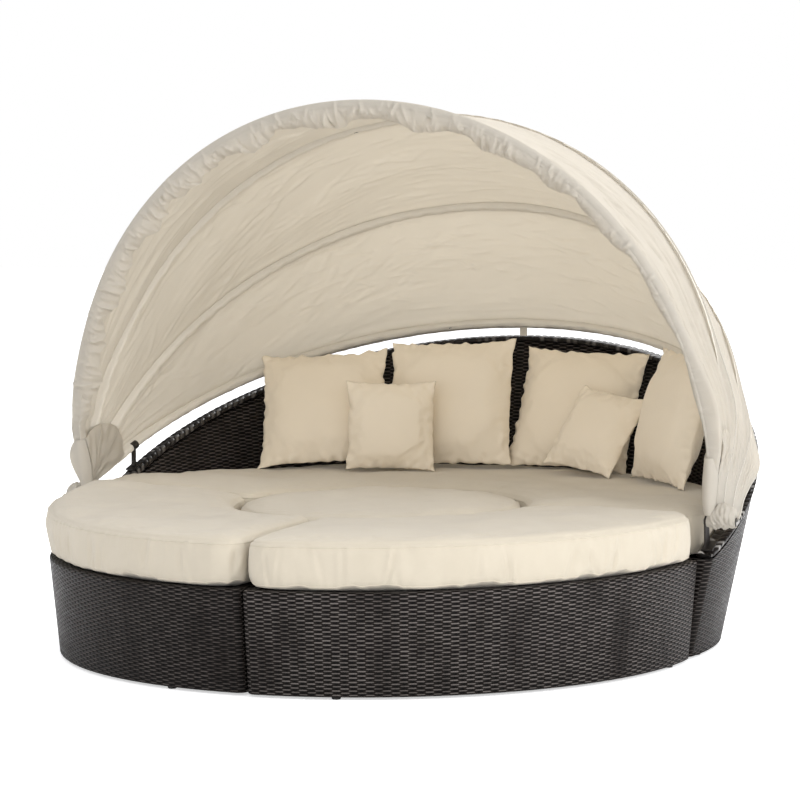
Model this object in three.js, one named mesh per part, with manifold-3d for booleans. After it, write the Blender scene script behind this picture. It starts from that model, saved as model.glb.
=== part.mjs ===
// Round outdoor daybed with a folding fabric canopy.
// Four woven modules stand together as one round bed: a back sofa whose outer wall sweeps up
// into a backrest, two quarter-ring ottomans in front of it and a round ottoman in the middle.
// Four tube bows carry the canopy. The rear bow stands fixed above the backrest, and the other
// three turn on one pin at each side and nest inside it when the canopy is folded back.
// Millimetres, +Z up, the front of the bed faces -Y.
import * as THREE from "three";
import { mergeVertices } from "three/addons/utils/BufferGeometryUtils.js";
import Module from "manifold-3d";

const wasm = await Module();
wasm.setup();

// Clearances
const seatGap = 0.3; // between pieces that touch
const moduleGap = 8; // between neighbouring modules
const overrun = 2; // how far a joined piece runs into the one it is welded to

// Plan of the modules
const backRadius = 998; // outer wall of the back sofa, at the floor
const backFlareDegrees = 12.3; // lean of that wall
const ottomanRadius = 996; // outer wall of the ottomans, at the floor
const ottomanFlareDegrees = 5.4;
const arcSpacing = 176; // from the back sofa's centre forward to the ottomans' centre
const splitSetback = 26; // from the ottomans' centre back to the split behind them
const roundRadius = 440; // middle ottoman
const cornerRadius = 26; // upright corners of the modules
const rightStandsOut = 10; // how far the right ottoman is pulled forward of the left one

// Base of every module
const glideHeight = 14;
const glideRadius = 14;
const glideChamfer = 2.5;
const skinBottom = 8; // lower edge of the weave above the floor
const baseHeight = 307; // top of the woven base
const skinThickness = 7;
const flangeWidth = 42; // woven border around the seat deck
const flangeRound = 6;
const hoopWidth = 30;
const hoopGap = 0.9; // between a skin and the hoop inside it
const bottomHoopHeight = 20;
const seatHoopHeight = 25;
const legWidth = 24;
const legDepth = 20;
const deckThickness = 14;
const slotWidth = 50;
const slotSpacing = 98;
const slotMargin = 62; // solid border of the deck around its slots

// Backrest
const wallThickness = 45;
const wallTopFront = 328; // height of the rim at the front ends
const wallTopBack = 891; // height of the rim at the back
const wallSweepPower = 1.08; // shape of the rise between them
const rimHeight = 20;
const rimSeat = 0.95; // rim over the skins and the rail, which curve in facets of their own
const rimOverhang = 3;
const rimRound = 7;
const railHeight = 20;
const railWidth = 20;
const backPostCount = 7;

// Seat cushions
const cushionThickness = 132;
const cushionCrown = 24;
const crownPowerAcross = 8; // how flat the crown runs along the arc
const crownPowerAlong = 3; // and from the outer edge to the inner one
const cushionCorner = 55;
const cushionCornerStretchShare = 1.6; // a corner is longer along the arc than across it
const cushionBulge = 5; // how far the side band swells past the seams
const cushionInset = 6; // seam inside the edge of the base
const cushionSeamRound = 10;
const backCushionClearance = 5; // to the lining of the backrest

// Pillows
const largePillow = 445;
const smallPillow = 305;
const largePillowThickness = 140;
const smallPillowThickness = 105;
const pillowPull = 0.055; // share of the half width by which the edges are drawn in
const pillowEdge = 5; // thickness of the seamed edge
const pillowSwellPower = 4; // how far the filling keeps its height towards the edges
const pillowSwellRound = 0.75;
const pillowDomeShare = 0.25; // how much lower the filling is near the edges than in the middle

// Canopy
const pivotForward = 126; // pin in front of the back sofa's centre
const pivotHeight = 418;
const tubeRadius = 10;
const bowPitch = 22.6; // spacing of the bow ends along the pin
const innerBowEnd = 1049; // centre of the front bow's end, from the middle of the bed
const legLength = 139; // straight foot of each bow
const joggleLength = 260; // stretch over which a foot bends from its pin position to its arch
const archPower = 2.03; // 2 is an ellipse, more is squarer
const hubRadius = 15;
const pinRadius = 5;
const pinClearance = 0.3;
const pinHeadRadius = 9;
const pinHeadLength = 5;
// The bows: angle at rest, length from the pin to the top, and overhang past the wall at the floor
const frontBow = { degrees: 98.8, reach: 1270, overhang: 66 };
const secondBow = { degrees: 71.1, reach: 1287, overhang: 70 };
const thirdBow = { degrees: 44.9, reach: 1314, overhang: 76 };
const rearBow = { degrees: 22.6, reach: 1345, overhang: 82 };

// Canopy fabric
const fabricThickness = 2.4;
const fabricClearance = 1.6; // over the tubes
const fabricSag = 16;
const fabricBlendShare = 0.6; // where the fabric has come in from the pin ends, over the joggle
const fabricStart = 48; // lowest point of the fabric from the pin
const strapWidth = 26;
const strapThickness = 2.4;

// Brackets
const plateThickness = 5;
const bracketFootLength = 54;
const bracketFootWidth = 36;
const bracketHeadRadius = 17;
const bracketBase = 44;
const clampDistance = 440; // from the pin along the rear bow
const clampWall = 3.5;
const clampLength = 26;
const clampClearance = 0.8;
const clampPost = 12;
const clampFootLength = 52;
const clampFootWidth = 34;
const footRise = 0.9; // clearance of a flat foot over the gently curved rim

// Fineness of the curves
const backArcSteps = 32;
const ottomanArcSteps = 12;
const backInnerSteps = 16;
const ottomanInnerSteps = 8;
const cornerSteps = 2;
const roundSteps = 32;
const bowSteps = 26;
const bowSides = 8;
const hubSides = 10;
const glideSides = 8;
const headSteps = 8;
const ringSides = 14;
const backCushionSteps = 28;
const ottomanCushionSteps = 14;
const cushionDepthSteps = 5;
const pillowCells = 8;
const goreCells = 5;
const slopeStep = 1e-4; // share of a bow over which its slope is taken

// Sizes worked out from those above
const backFlare = Math.tan(THREE.MathUtils.degToRad(backFlareDegrees));
const ottomanFlare = Math.tan(THREE.MathUtils.degToRad(ottomanFlareDegrees));
const ottomanCentre = -arcSpacing;
const splitLine = ottomanCentre + splitSetback;
const hoopInset = skinThickness + hoopGap;
const deckTop = baseHeight - skinThickness - seatGap;
const deckBottom = deckTop - deckThickness;
const seatHoopTop = deckBottom - seatGap;
const seatHoopBottom = seatHoopTop - seatHoopHeight;
const bottomHoopBottom = glideHeight + seatGap;
const bottomHoopTop = bottomHoopBottom + bottomHoopHeight;
const cushionBottom = baseHeight + seatGap;
const cushionSeam = cushionBottom + cushionThickness;
const hubLength = bowPitch - 2 * seatGap;
const outerBowEnd = innerBowEnd + 3 * bowPitch;
const wallCentre = wallThickness / 2;
const facetHalfAngle = Math.PI / backArcSteps / 2;

// Colours
const finishes = {
  weave: { color: 0x2c2420, roughness: 0.55, metalness: 0 },
  tube: { color: 0x1d1c1b, roughness: 0.45, metalness: 0.6 },
  deck: { color: 0x26231f, roughness: 0.6, metalness: 0.3 },
  cushion: { color: 0xd9ccb2, roughness: 0.95, metalness: 0 },
  canopy: { color: 0xe4e0d4, roughness: 0.95, metalness: 0 },
  glide: { color: 0x151515, roughness: 0.7, metalness: 0 },
  steel: { color: 0x7d7d7b, roughness: 0.35, metalness: 0.9 },
};

function node(name, geometry, finish) {
  const mesh = new THREE.Mesh(geometry, new THREE.MeshStandardMaterial(finishes[finish]));
  mesh.name = name;
  return mesh;
}

// Solids and joins
function solid(geometry) {
  const plain = new THREE.BufferGeometry();
  plain.setAttribute("position", geometry.getAttribute("position").clone());
  if (geometry.index) plain.setIndex(geometry.index.clone());
  const merged = mergeVertices(plain, 1e-3);
  const mesh = new wasm.Mesh({
    numProp: 3,
    vertProperties: merged.getAttribute("position").array,
    triVerts: new Uint32Array(merged.index.array),
  });
  return new wasm.Manifold(mesh);
}

function geometryOf(manifold) {
  const mesh = manifold.getMesh();
  const geometry = new THREE.BufferGeometry();
  geometry.setAttribute("position", new THREE.BufferAttribute(mesh.vertProperties, 3));
  geometry.setIndex(new THREE.BufferAttribute(mesh.triVerts, 1));
  geometry.computeVertexNormals();
  return geometry;
}

function joined(geometries) {
  return geometryOf(geometries.map(solid).reduce((whole, next) => whole.add(next)));
}

function cut(geometry, tools) {
  return geometryOf(tools.map(solid).reduce((whole, tool) => whole.subtract(tool), solid(geometry)));
}

// Surface through closed rings of points. It closes on itself, or ends in two caps.
function loft(rings, closed) {
  const count = rings[0].length;
  const points = rings.flat();
  const index = [];
  const bands = closed ? rings.length : rings.length - 1;
  for (let band = 0; band < bands; band++) {
    const low = band * count;
    const high = ((band + 1) % rings.length) * count;
    for (let i = 0; i < count; i++) {
      const next = (i + 1) % count;
      index.push(low + i, low + next, high + next, low + i, high + next, high + i);
    }
  }
  if (!closed) {
    const last = (rings.length - 1) * count;
    for (const [a, b, c] of capTriangles(rings[0])) index.push(a, c, b);
    for (const [a, b, c] of capTriangles(rings.at(-1))) index.push(last + a, last + b, last + c);
  }
  return facingOut(points, index);
}

// Triangles of a flat ring, seen along its own normal
function capTriangles(ring) {
  const normal = new THREE.Vector3();
  ring.forEach((point, i) => {
    const next = ring[(i + 1) % ring.length];
    normal.add(new THREE.Vector3().crossVectors(point, next));
  });
  normal.normalize();
  const side = ring[1].clone().sub(ring[0]).normalize();
  const up = new THREE.Vector3().crossVectors(normal, side);
  const flat = ring.map((point) => new THREE.Vector2(point.dot(side), point.dot(up)));
  return THREE.ShapeUtils.triangulateShape(flat, []);
}

function facingOut(points, index) {
  let volume = 0;
  for (let i = 0; i < index.length; i += 3) {
    const [a, b, c] = [points[index[i]], points[index[i + 1]], points[index[i + 2]]];
    volume += a.dot(new THREE.Vector3().crossVectors(b, c));
  }
  if (volume < 0) index.reverse();
  const geometry = new THREE.BufferGeometry().setFromPoints(points);
  geometry.setIndex(index);
  geometry.computeVertexNormals();
  return geometry;
}

// Straight bar of a rectangular section between two points, with its width square to "across"
function bar(from, to, width, depth, across) {
  const along = to.clone().sub(from);
  const length = along.length();
  const geometry = new THREE.BoxGeometry(width, depth, length);
  const z = along.normalize();
  const y = new THREE.Vector3().crossVectors(z, across).normalize();
  const x = new THREE.Vector3().crossVectors(y, z);
  const turn = new THREE.Matrix4().makeBasis(x, y, z);
  const middle = from.clone().add(to).multiplyScalar(0.5);
  return geometry.applyMatrix4(turn.setPosition(middle));
}

// Plan of a module: two arcs joined by two straight sides.
// A side at "x" runs along Y, and a side at "y" runs along X.
const rightPlan = {
  outer: { y: ottomanCentre, radius: ottomanRadius, flare: ottomanFlare, steps: ottomanArcSteps },
  inner: { y: ottomanCentre, radius: roundRadius + moduleGap, steps: ottomanInnerSteps },
  start: { x: moduleGap / 2 },
  end: { y: splitLine - moduleGap / 2 },
};
const backPlan = {
  outer: { y: 0, radius: backRadius, flare: backFlare, steps: backArcSteps },
  inner: { y: ottomanCentre, radius: roundRadius + moduleGap, steps: backInnerSteps },
  start: { y: splitLine + moduleGap / 2 },
  end: { y: splitLine + moduleGap / 2, mirrored: true },
};

// Angle at which an arc meets a straight side
function meeting(side, centre, radius, inset) {
  if (side.x !== undefined) return -Math.acos((side.x + inset) / radius);
  const facesFront = side === backPlan.start || side === backPlan.end;
  const line = side.y + (facesFront ? inset : -inset);
  const angle = Math.asin((line - centre) / radius);
  return side.mirrored ? Math.PI - angle : angle;
}

// Angle at a share of an arc. Its corners lie at the same angles at every height and inset,
// so that skins, hoops and rims have parallel facets, and only its two ends follow the sides.
function arcAngle(plan, arc, radius, inset, share) {
  const first = meeting(plan.start, arc.y, arc.radius, 0);
  const last = meeting(plan.end, arc.y, arc.radius, 0);
  const cell = 1 / arc.steps;
  const nominal = (at) => THREE.MathUtils.lerp(first, last, at);
  if (share < cell) {
    const end = meeting(plan.start, arc.y, radius, inset);
    return THREE.MathUtils.lerp(end, nominal(cell), share / cell);
  }
  if (share > 1 - cell) {
    const end = meeting(plan.end, arc.y, radius, inset);
    return THREE.MathUtils.lerp(end, nominal(1 - cell), (1 - share) / cell);
  }
  return nominal(share);
}

function arcPoints(plan, arc, radius, inset, height) {
  return Array.from({ length: arc.steps + 1 }, (_, i) => {
    const angle = arcAngle(plan, arc, radius, inset, i / arc.steps);
    return new THREE.Vector3(radius * Math.cos(angle), arc.y + radius * Math.sin(angle), height);
  });
}

function outerArc(plan, inset, height) {
  const radius = plan.outer.radius + plan.outer.flare * height - inset;
  return arcPoints(plan, plan.outer, radius, inset, height);
}

function innerArc(plan, inset, height) {
  return arcPoints(plan, plan.inner, plan.inner.radius + inset, inset, height);
}

// Rounds the corner of three points with a small arc
function fillet(before, corner, after, radius) {
  const a = before.clone().sub(corner).normalize();
  const b = after.clone().sub(corner).normalize();
  const half = a.angleTo(b) / 2;
  const middle = a.clone().add(b).normalize();
  const centre = corner.clone().addScaledVector(middle, radius / Math.sin(half));
  const reach = radius / Math.tan(half);
  const first = corner.clone().addScaledVector(a, reach).sub(centre);
  const last = corner.clone().addScaledVector(b, reach).sub(centre);
  const turn = first.angleTo(last);
  return Array.from({ length: cornerSteps + 1 }, (_, i) => {
    const share = i / cornerSteps;
    const start = first.clone().multiplyScalar(Math.sin((1 - share) * turn));
    const end = last.clone().multiplyScalar(Math.sin(share * turn));
    return start.add(end).divideScalar(Math.sin(turn)).add(centre);
  });
}

// Closed outline of a module at one height, moved inwards by an inset
function outline(plan, inset, height) {
  const outer = outerArc(plan, inset, height);
  const inner = innerArc(plan, inset, height).reverse();
  const corner = Math.max(cornerRadius - inset, skinThickness);
  const n = outer.length;
  const m = inner.length;
  return [
    ...fillet(inner[m - 1], outer[0], outer[1], corner),
    ...outer.slice(1, -1),
    ...fillet(outer[n - 2], outer[n - 1], inner[0], corner),
    ...fillet(outer[n - 1], inner[0], inner[1], corner),
    ...inner.slice(1, -1),
    ...fillet(inner[m - 2], inner[m - 1], outer[0], corner),
  ];
}

// Skin of a module: an upright wall with a border folded in over the deck
function skinSection() {
  return [
    [0, skinBottom],
    [0, baseHeight - flangeRound],
    [flangeRound, baseHeight],
    [flangeWidth, baseHeight],
    [flangeWidth, baseHeight - skinThickness],
    [skinThickness, baseHeight - skinThickness],
    [skinThickness, skinBottom],
  ];
}

function hoop(plan, bottom, top) {
  const section = [
    [hoopInset, bottom],
    [hoopInset, top],
    [hoopInset + hoopWidth, top],
    [hoopInset + hoopWidth, bottom],
  ];
  return loft(section.map(([inset, height]) => outline(plan, inset, height)), true);
}

// Leg between the two hoops, at a share of the outer or the inner arc
function leg(arcOf, plan, share) {
  const inset = hoopInset + hoopWidth / 2;
  const at = (height) => {
    const points = arcOf(plan, inset, height);
    return points[Math.round(share * (points.length - 1))];
  };
  const low = at(bottomHoopTop - overrun);
  const high = at(seatHoopBottom + overrun);
  return bar(low, high, legDepth, legWidth, new THREE.Vector3(low.x, low.y, 0));
}

// Bearer across the seat, from the outer hoop to the inner one
function bearer(plan, share) {
  const inset = hoopInset + hoopWidth / 2;
  const middle = (seatHoopTop + seatHoopBottom) / 2;
  const outer = outerArc(plan, inset, middle);
  const inner = innerArc(plan, inset, middle);
  const from = outer[Math.round(share * (outer.length - 1))];
  const to = inner[Math.round(share * (inner.length - 1))];
  return bar(from, to, seatHoopHeight - 2 * seatGap, legWidth, new THREE.Vector3(0, 0, 1));
}

function glide(point) {
  const profile = [
    new THREE.Vector2(0, 0),
    new THREE.Vector2(glideRadius - glideChamfer, 0),
    new THREE.Vector2(glideRadius, glideChamfer),
    new THREE.Vector2(glideRadius, glideHeight),
    new THREE.Vector2(0, glideHeight),
  ];
  const geometry = new THREE.LatheGeometry(profile, glideSides);
  geometry.rotateX(Math.PI / 2);
  return geometry.translate(point.x, point.y, 0);
}

// Places of the glides: under the legs
function glidePlaces(plan, outerShares, innerShares) {
  const inset = hoopInset + hoopWidth / 2;
  const outer = outerArc(plan, inset, skinBottom);
  const inner = innerArc(plan, inset, skinBottom);
  const pick = (points, share) => points[Math.round(share * (points.length - 1))];
  return [...outerShares.map((s) => pick(outer, s)), ...innerShares.map((s) => pick(inner, s))];
}

function addGlides(group, name, places) {
  places.forEach((place, i) => group.add(node(`${name}_foot_${i + 1}`, glide(place), "glide")));
}

// Slatted deck: a plate with long slots that run from front to back
function deck(plan, outlineInset) {
  const points = outline(plan, outlineInset, deckBottom).map((p) => new THREE.Vector2(p.x, p.y));
  const plate = plateFrom(new THREE.Shape(points));
  const edge = outline(plan, slotMargin, deckBottom);
  return cut(plate, slotTools(edge));
}

function plateFrom(shape) {
  const plate = new THREE.ExtrudeGeometry(shape, { depth: deckThickness, bevelEnabled: false });
  return plate.translate(0, 0, deckBottom);
}

// Slots on a regular spacing, each as long as the border around it allows
function slotTools(edge) {
  const reach = Math.max(...edge.map((p) => Math.abs(p.x)));
  const tools = [];
  for (let i = -Math.ceil(reach / slotSpacing); i < reach / slotSpacing; i++) {
    const x = (i + 0.5) * slotSpacing;
    const spans = crossings(edge, x - slotWidth / 2, x + slotWidth / 2);
    for (const [low, high] of spans) {
      if (high - low > 2 * slotWidth) tools.push(slot(x, low, high));
    }
  }
  return tools;
}

// Stretches of Y inside an outline that two uprights of X have in common
function crossings(edge, left, right) {
  const at = (x) => {
    const hits = [];
    edge.forEach((p, i) => {
      const q = edge[(i + 1) % edge.length];
      if (p.x > x !== q.x > x) hits.push(p.y + ((x - p.x) / (q.x - p.x)) * (q.y - p.y));
    });
    return hits.sort((a, b) => a - b);
  };
  const a = at(left);
  const b = at(right);
  const spans = [];
  if (a.length !== b.length) return spans;
  for (let i = 0; i + 1 < a.length; i += 2) {
    spans.push([Math.max(a[i], b[i]), Math.min(a[i + 1], b[i + 1])]);
  }
  return spans;
}

function slot(x, low, high) {
  const shape = new THREE.Shape();
  const half = slotWidth / 2;
  shape.moveTo(x - half, low);
  shape.lineTo(x + half, low);
  shape.lineTo(x + half, high);
  shape.lineTo(x - half, high);
  const depth = deckThickness + 2 * overrun;
  const tool = new THREE.ExtrudeGeometry(shape, { depth, bevelEnabled: false });
  return tool.translate(0, 0, deckBottom - overrun);
}

// Seat cushion: a grid over the ring sector, crowned on top, flat below, with a swelling side
function sectorCushion(plan, inset, across) {
  const along = cushionDepthSteps;
  const outer = resampled(outerArc(plan, inset, cushionBottom), across);
  const inner = resampled(innerArc(plan, inset, cushionBottom), across);
  const at = (i, j) => roundedPatch(outer, inner, i / across, j / along, across, along, i, j);
  const flat = grid(across, along, at);
  const rim = boundary(across, along);
  const centre = (i, j) => crownAt(i / across, j / along);
  return cushionSolid(flat, rim, across, along, centre);
}

function resampled(points, count) {
  const curve = new THREE.CatmullRomCurve3(points);
  return curve.getSpacedPoints(count);
}

function grid(across, along, at) {
  const points = [];
  for (let i = 0; i <= across; i++) for (let j = 0; j <= along; j++) points.push(at(i, j));
  return points;
}

// Point of the patch between the two arcs, with its four corners rounded
function roundedPatch(outer, inner, u, v, across, along, i, j) {
  const width = outer[i].distanceTo(inner[i]);
  const length = outer.slice(1).reduce((sum, p, k) => sum + p.distanceTo(outer[k]), 0);
  const cornerU = (cushionCornerStretchShare * cushionCorner) / length;
  const cornerV = cushionCorner / width;
  const [du, sideU] = fromEdge(u, cornerU);
  const [dv, sideV] = fromEdge(v, cornerV);
  let su = u;
  let sv = v;
  if (du > 0 && dv > 0) {
    su = u - sideU * cornerU * du * (1 - Math.sqrt(1 - (dv * dv) / 2));
    sv = v - sideV * cornerV * dv * (1 - Math.sqrt(1 - (du * du) / 2));
  }
  const place = su * across;
  const k = Math.min(Math.floor(place), across - 1);
  const a = inner[k].clone().lerp(inner[k + 1], place - k);
  const b = outer[k].clone().lerp(outer[k + 1], place - k);
  return a.lerp(b, sv);
}

// How far a share lies inside the corner zone, 0 at its start and 1 at the edge, and which side
function fromEdge(share, zone) {
  if (share < zone) return [1 - share / zone, -1];
  if (share > 1 - zone) return [1 - (1 - share) / zone, 1];
  return [0, 0];
}

function crownAt(u, v) {
  const across = 1 - Math.abs(2 * u - 1) ** crownPowerAcross;
  const along = 1 - Math.abs(2 * v - 1) ** crownPowerAlong;
  return cushionCrown * Math.sqrt(across * along);
}

function boundary(across, along) {
  const at = (i, j) => i * (along + 1) + j;
  const ring = [];
  for (let i = 0; i < across; i++) ring.push(at(i, 0));
  for (let j = 0; j < along; j++) ring.push(at(across, j));
  for (let i = across; i > 0; i--) ring.push(at(i, along));
  for (let j = along; j > 0; j--) ring.push(at(0, j));
  return ring;
}

// Levels of the side band: height above the bottom, and how far it stands out
function bandLevels() {
  const lift = cushionThickness - 2 * cushionSeamRound;
  return [
    [0, -cushionSeamRound],
    [cushionSeamRound, 0],
    [cushionSeamRound + lift / 2, cushionBulge],
    [cushionSeamRound + lift, 0],
    [cushionThickness, -cushionSeamRound],
  ];
}

function cushionSolid(flat, rim, across, along, crown) {
  const outward = rim.map((_, k) => {
    const before = flat[rim[(k + rim.length - 1) % rim.length]];
    const after = flat[rim[(k + 1) % rim.length]];
    const run = after.clone().sub(before);
    return new THREE.Vector3(-run.y, run.x, 0).normalize();
  });
  const drawIn = new Map(rim.map((id, k) => [id, outward[k]]));
  const moved = (id, level, extra) => {
    const [height, out] = level;
    const point = flat[id].clone();
    if (drawIn.has(id)) point.addScaledVector(drawIn.get(id), out);
    point.z = cushionBottom + height + extra;
    return point;
  };
  const levels = bandLevels();
  const top = levels.at(-1);
  const points = flat.map((_, id) => moved(id, levels[0], 0));
  const topStart = points.length;
  flat.forEach((_, id) => {
    const i = Math.floor(id / (along + 1));
    points.push(moved(id, top, crown(i, id % (along + 1))));
  });
  const rings = levels.slice(1, -1).map((level) => {
    const start = points.length;
    rim.forEach((id) => points.push(moved(id, level, 0)));
    return rim.map((_, k) => start + k);
  });
  const stack = [rim, ...rings, rim.map((id) => topStart + id)];
  const index = [];
  for (let r = 0; r + 1 < stack.length; r++) {
    rim.forEach((_, k) => {
      const next = (k + 1) % rim.length;
      const [a, b, c, d] = [stack[r][k], stack[r][next], stack[r + 1][next], stack[r + 1][k]];
      index.push(a, b, c, a, c, d);
    });
  }
  for (let i = 0; i < across; i++) {
    for (let j = 0; j < along; j++) {
      const a = i * (along + 1) + j;
      const [b, c, d] = [a + 1, a + along + 2, a + along + 1];
      index.push(a, b, c, a, c, d);
      index.push(topStart + a, topStart + c, topStart + b, topStart + a, topStart + d, topStart + c);
    }
  }
  return facingOut(points, index);
}

// Round cushion of the middle ottoman
function roundCushion() {
  const edge = roundRadius - cushionInset;
  const rings = cushionDepthSteps;
  const profile = [new THREE.Vector2(0, cushionBottom)];
  bandLevels().forEach(([height, out]) => {
    profile.push(new THREE.Vector2(edge + out, cushionBottom + height));
  });
  for (let i = rings - 1; i >= 0; i--) {
    const share = i / rings;
    const rise = cushionCrown * Math.sqrt(1 - share ** crownPowerAlong);
    profile.push(new THREE.Vector2(share * (edge - cushionSeamRound), cushionSeam + rise));
  }
  const geometry = new THREE.LatheGeometry(profile, roundSteps);
  return geometry.rotateX(Math.PI / 2).translate(0, ottomanCentre, 0);
}

// One quarter-ring ottoman, made as the right one
function ottoman(name) {
  const group = new THREE.Group();
  const skin = loft(skinSection().map(([inset, z]) => outline(rightPlan, inset, z)), true);
  const frame = joined([
    hoop(rightPlan, bottomHoopBottom, bottomHoopTop),
    hoop(rightPlan, seatHoopBottom, seatHoopTop),
    ...legShares.map((share) => leg(outerArc, rightPlan, share)),
    ...legShares.map((share) => leg(innerArc, rightPlan, share)),
    bearer(rightPlan, 0.5),
  ]);
  group.add(node(`${name}_wicker`, skin, "weave"));
  group.add(node(`${name}_frame`, frame, "tube"));
  group.add(node(`${name}_deck`, deck(rightPlan, hoopInset), "deck"));
  const cushion = sectorCushion(rightPlan, cushionInset, ottomanCushionSteps);
  group.add(node(`${name}_cushion`, cushion, "cushion"));
  addGlides(group, name, glidePlaces(rightPlan, legShares, legShares));
  return group;
}

const legShares = [0.125, 0.875];

// Round middle ottoman
function roundRing(inset, height) {
  const radius = roundRadius - inset;
  return Array.from({ length: roundSteps }, (_, i) => {
    const angle = (2 * Math.PI * i) / roundSteps;
    return new THREE.Vector3(radius * Math.cos(angle), ottomanCentre + radius * Math.sin(angle), height);
  });
}

function roundHoop(bottom, top) {
  const inner = hoopInset + hoopWidth;
  const section = [[hoopInset, bottom], [hoopInset, top], [inner, top], [inner, bottom]];
  return loft(section.map(([inset, height]) => roundRing(inset, height)), true);
}

function middleOttoman() {
  const group = new THREE.Group();
  const name = "middle_ottoman";
  const places = [0, 1, 2, 3].map((k) => ((k + 0.5) * roundSteps) / 4);
  const inset = hoopInset + hoopWidth / 2;
  const legs = places.map((k) => {
    const low = roundRing(inset, bottomHoopTop - overrun)[k];
    const high = roundRing(inset, seatHoopBottom + overrun)[k];
    return bar(low, high, legDepth, legWidth, new THREE.Vector3(low.x, low.y - ottomanCentre, 0));
  });
  const level = (seatHoopTop + seatHoopBottom) / 2;
  const ends = roundRing(inset, level);
  const bearers = [0, 1].map((k) => {
    const up = new THREE.Vector3(0, 0, 1);
    return bar(ends[places[k]], ends[places[k + 2]], seatHoopHeight - 2 * seatGap, legWidth, up);
  });
  const frame = joined([
    roundHoop(bottomHoopBottom, bottomHoopTop),
    roundHoop(seatHoopBottom, seatHoopTop),
    ...legs,
    ...bearers,
  ]);
  const deckShape = new THREE.Shape(roundRing(hoopInset, 0).map((p) => new THREE.Vector2(p.x, p.y)));
  const slots = slotTools(roundRing(slotMargin, 0));
  group.add(node(`${name}_wicker`, loft(skinSection().map(([i, z]) => roundRing(i, z)), true), "weave"));
  group.add(node(`${name}_frame`, frame, "tube"));
  group.add(node(`${name}_deck`, cut(plateFrom(deckShape), slots), "deck"));
  group.add(node(`${name}_cushion`, roundCushion(), "cushion"));
  addGlides(group, name, places.map((k) => roundRing(inset, 0)[k]));
  return group;
}

// Back sofa: the wall, its rim and what stands on the base
function wallTop(share) {
  const rise = Math.sin(Math.PI * THREE.MathUtils.clamp(share, 0, 1));
  return wallTopFront + (wallTopBack - wallTopFront) * Math.max(rise, 0) ** wallSweepPower;
}

// Upper edge of the skins and the rail, under the rim
function skinTop(share) {
  return wallTop(share) - rimHeight - rimSeat;
}

// Point of the wall at a share of its sweep, moved inwards by an inset
function wallPoint(share, inset, height) {
  const radius = backRadius + backFlare * height - inset;
  const angle = arcAngle(backPlan, backPlan.outer, radius, 0, share);
  return new THREE.Vector3(radius * Math.cos(angle), radius * Math.sin(angle), height);
}

function wallShares() {
  return Array.from({ length: backArcSteps + 1 }, (_, i) => i / backArcSteps);
}

function outerWall() {
  const rings = wallShares().map((share) => {
    const top = skinTop(share);
    return [
      wallPoint(share, 0, skinBottom),
      wallPoint(share, 0, top),
      wallPoint(share, skinThickness, top),
      wallPoint(share, skinThickness, skinBottom),
    ];
  });
  return loft(rings, false);
}

// Lining of the backrest, between the seat and the rim, as far as the wall rises above the seat
function lining() {
  const inner = wallThickness;
  const outer = wallThickness - skinThickness;
  const low = baseHeight + seatGap;
  const raised = wallShares().filter((share) => skinTop(share) > low + skinThickness);
  const rings = raised.map((share) => {
    const top = skinTop(share);
    return [
      wallPoint(share, outer, low),
      wallPoint(share, outer, top),
      wallPoint(share, inner, top),
      wallPoint(share, inner, low),
    ];
  });
  return loft(rings, false);
}

function rim() {
  const width = wallThickness + 2 * rimOverhang;
  const section = [
    [0, 0],
    [0, rimHeight - rimRound],
    [rimRound, rimHeight],
    [width - rimRound, rimHeight],
    [width, rimHeight - rimRound],
    [width, 0],
  ];
  const rings = wallShares().map((share) => {
    const base = wallTop(share) - rimHeight;
    return section.map(([inset, lift]) => wallPoint(share, inset - rimOverhang, base + lift));
  });
  return loft(rings, false);
}

// Front faces of the back sofa and the hollow wall around the middle ottoman, as one skin
function backBaseSkin() {
  const stations = outline(backPlan, 0, 0).length;
  const first = cornerSteps + 1 + (backArcSteps - 1) + cornerSteps + 1;
  const section = skinSection();
  const side = (sign, [inset, height]) => {
    const reach = (backRadius + backFlare * height - hoopInset) * Math.cos(facetHalfAngle);
    const y = backPlan.start.y + inset;
    return new THREE.Vector3(sign * Math.sqrt(reach * reach - y * y), y, height);
  };
  const rings = [section.map((point) => side(-1, point))];
  for (let i = first; i < stations; i++) {
    rings.push(section.map(([inset, height]) => outline(backPlan, inset, height)[i]));
  }
  rings.push(section.map((point) => side(1, point)));
  return loft(rings, false);
}

// Upright between two levels of a leaning line, its lowest corner a gap above the lower level
function upright(at, bottom, top, width, depth) {
  const line = at(top).sub(at(bottom));
  const dip = ((width / 2) * Math.hypot(line.x, line.y)) / line.length();
  const low = at(bottom + seatGap + dip);
  return bar(low, at(top), width, depth, new THREE.Vector3(low.x, low.y, 0));
}

// Seat frame of the back sofa: the hoop under the deck, its bearers and the legs below it
function backSeatFrame() {
  const legsOf = (arcOf, shares) =>
    shares.map((share) => {
      const at = (height) => {
        const points = arcOf(backPlan, hoopInset + hoopWidth / 2, height);
        return points[Math.round(share * (points.length - 1))];
      };
      return upright(at, bottomHoopTop, seatHoopBottom + overrun, legDepth, legWidth);
    });
  return joined([
    hoop(backPlan, seatHoopBottom, seatHoopTop),
    ...legsOf(outerArc, backLegShares),
    ...legsOf(innerArc, backInnerLegShares),
    ...backBearerShares.map((share) => bearer(backPlan, share)),
  ]);
}

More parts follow.
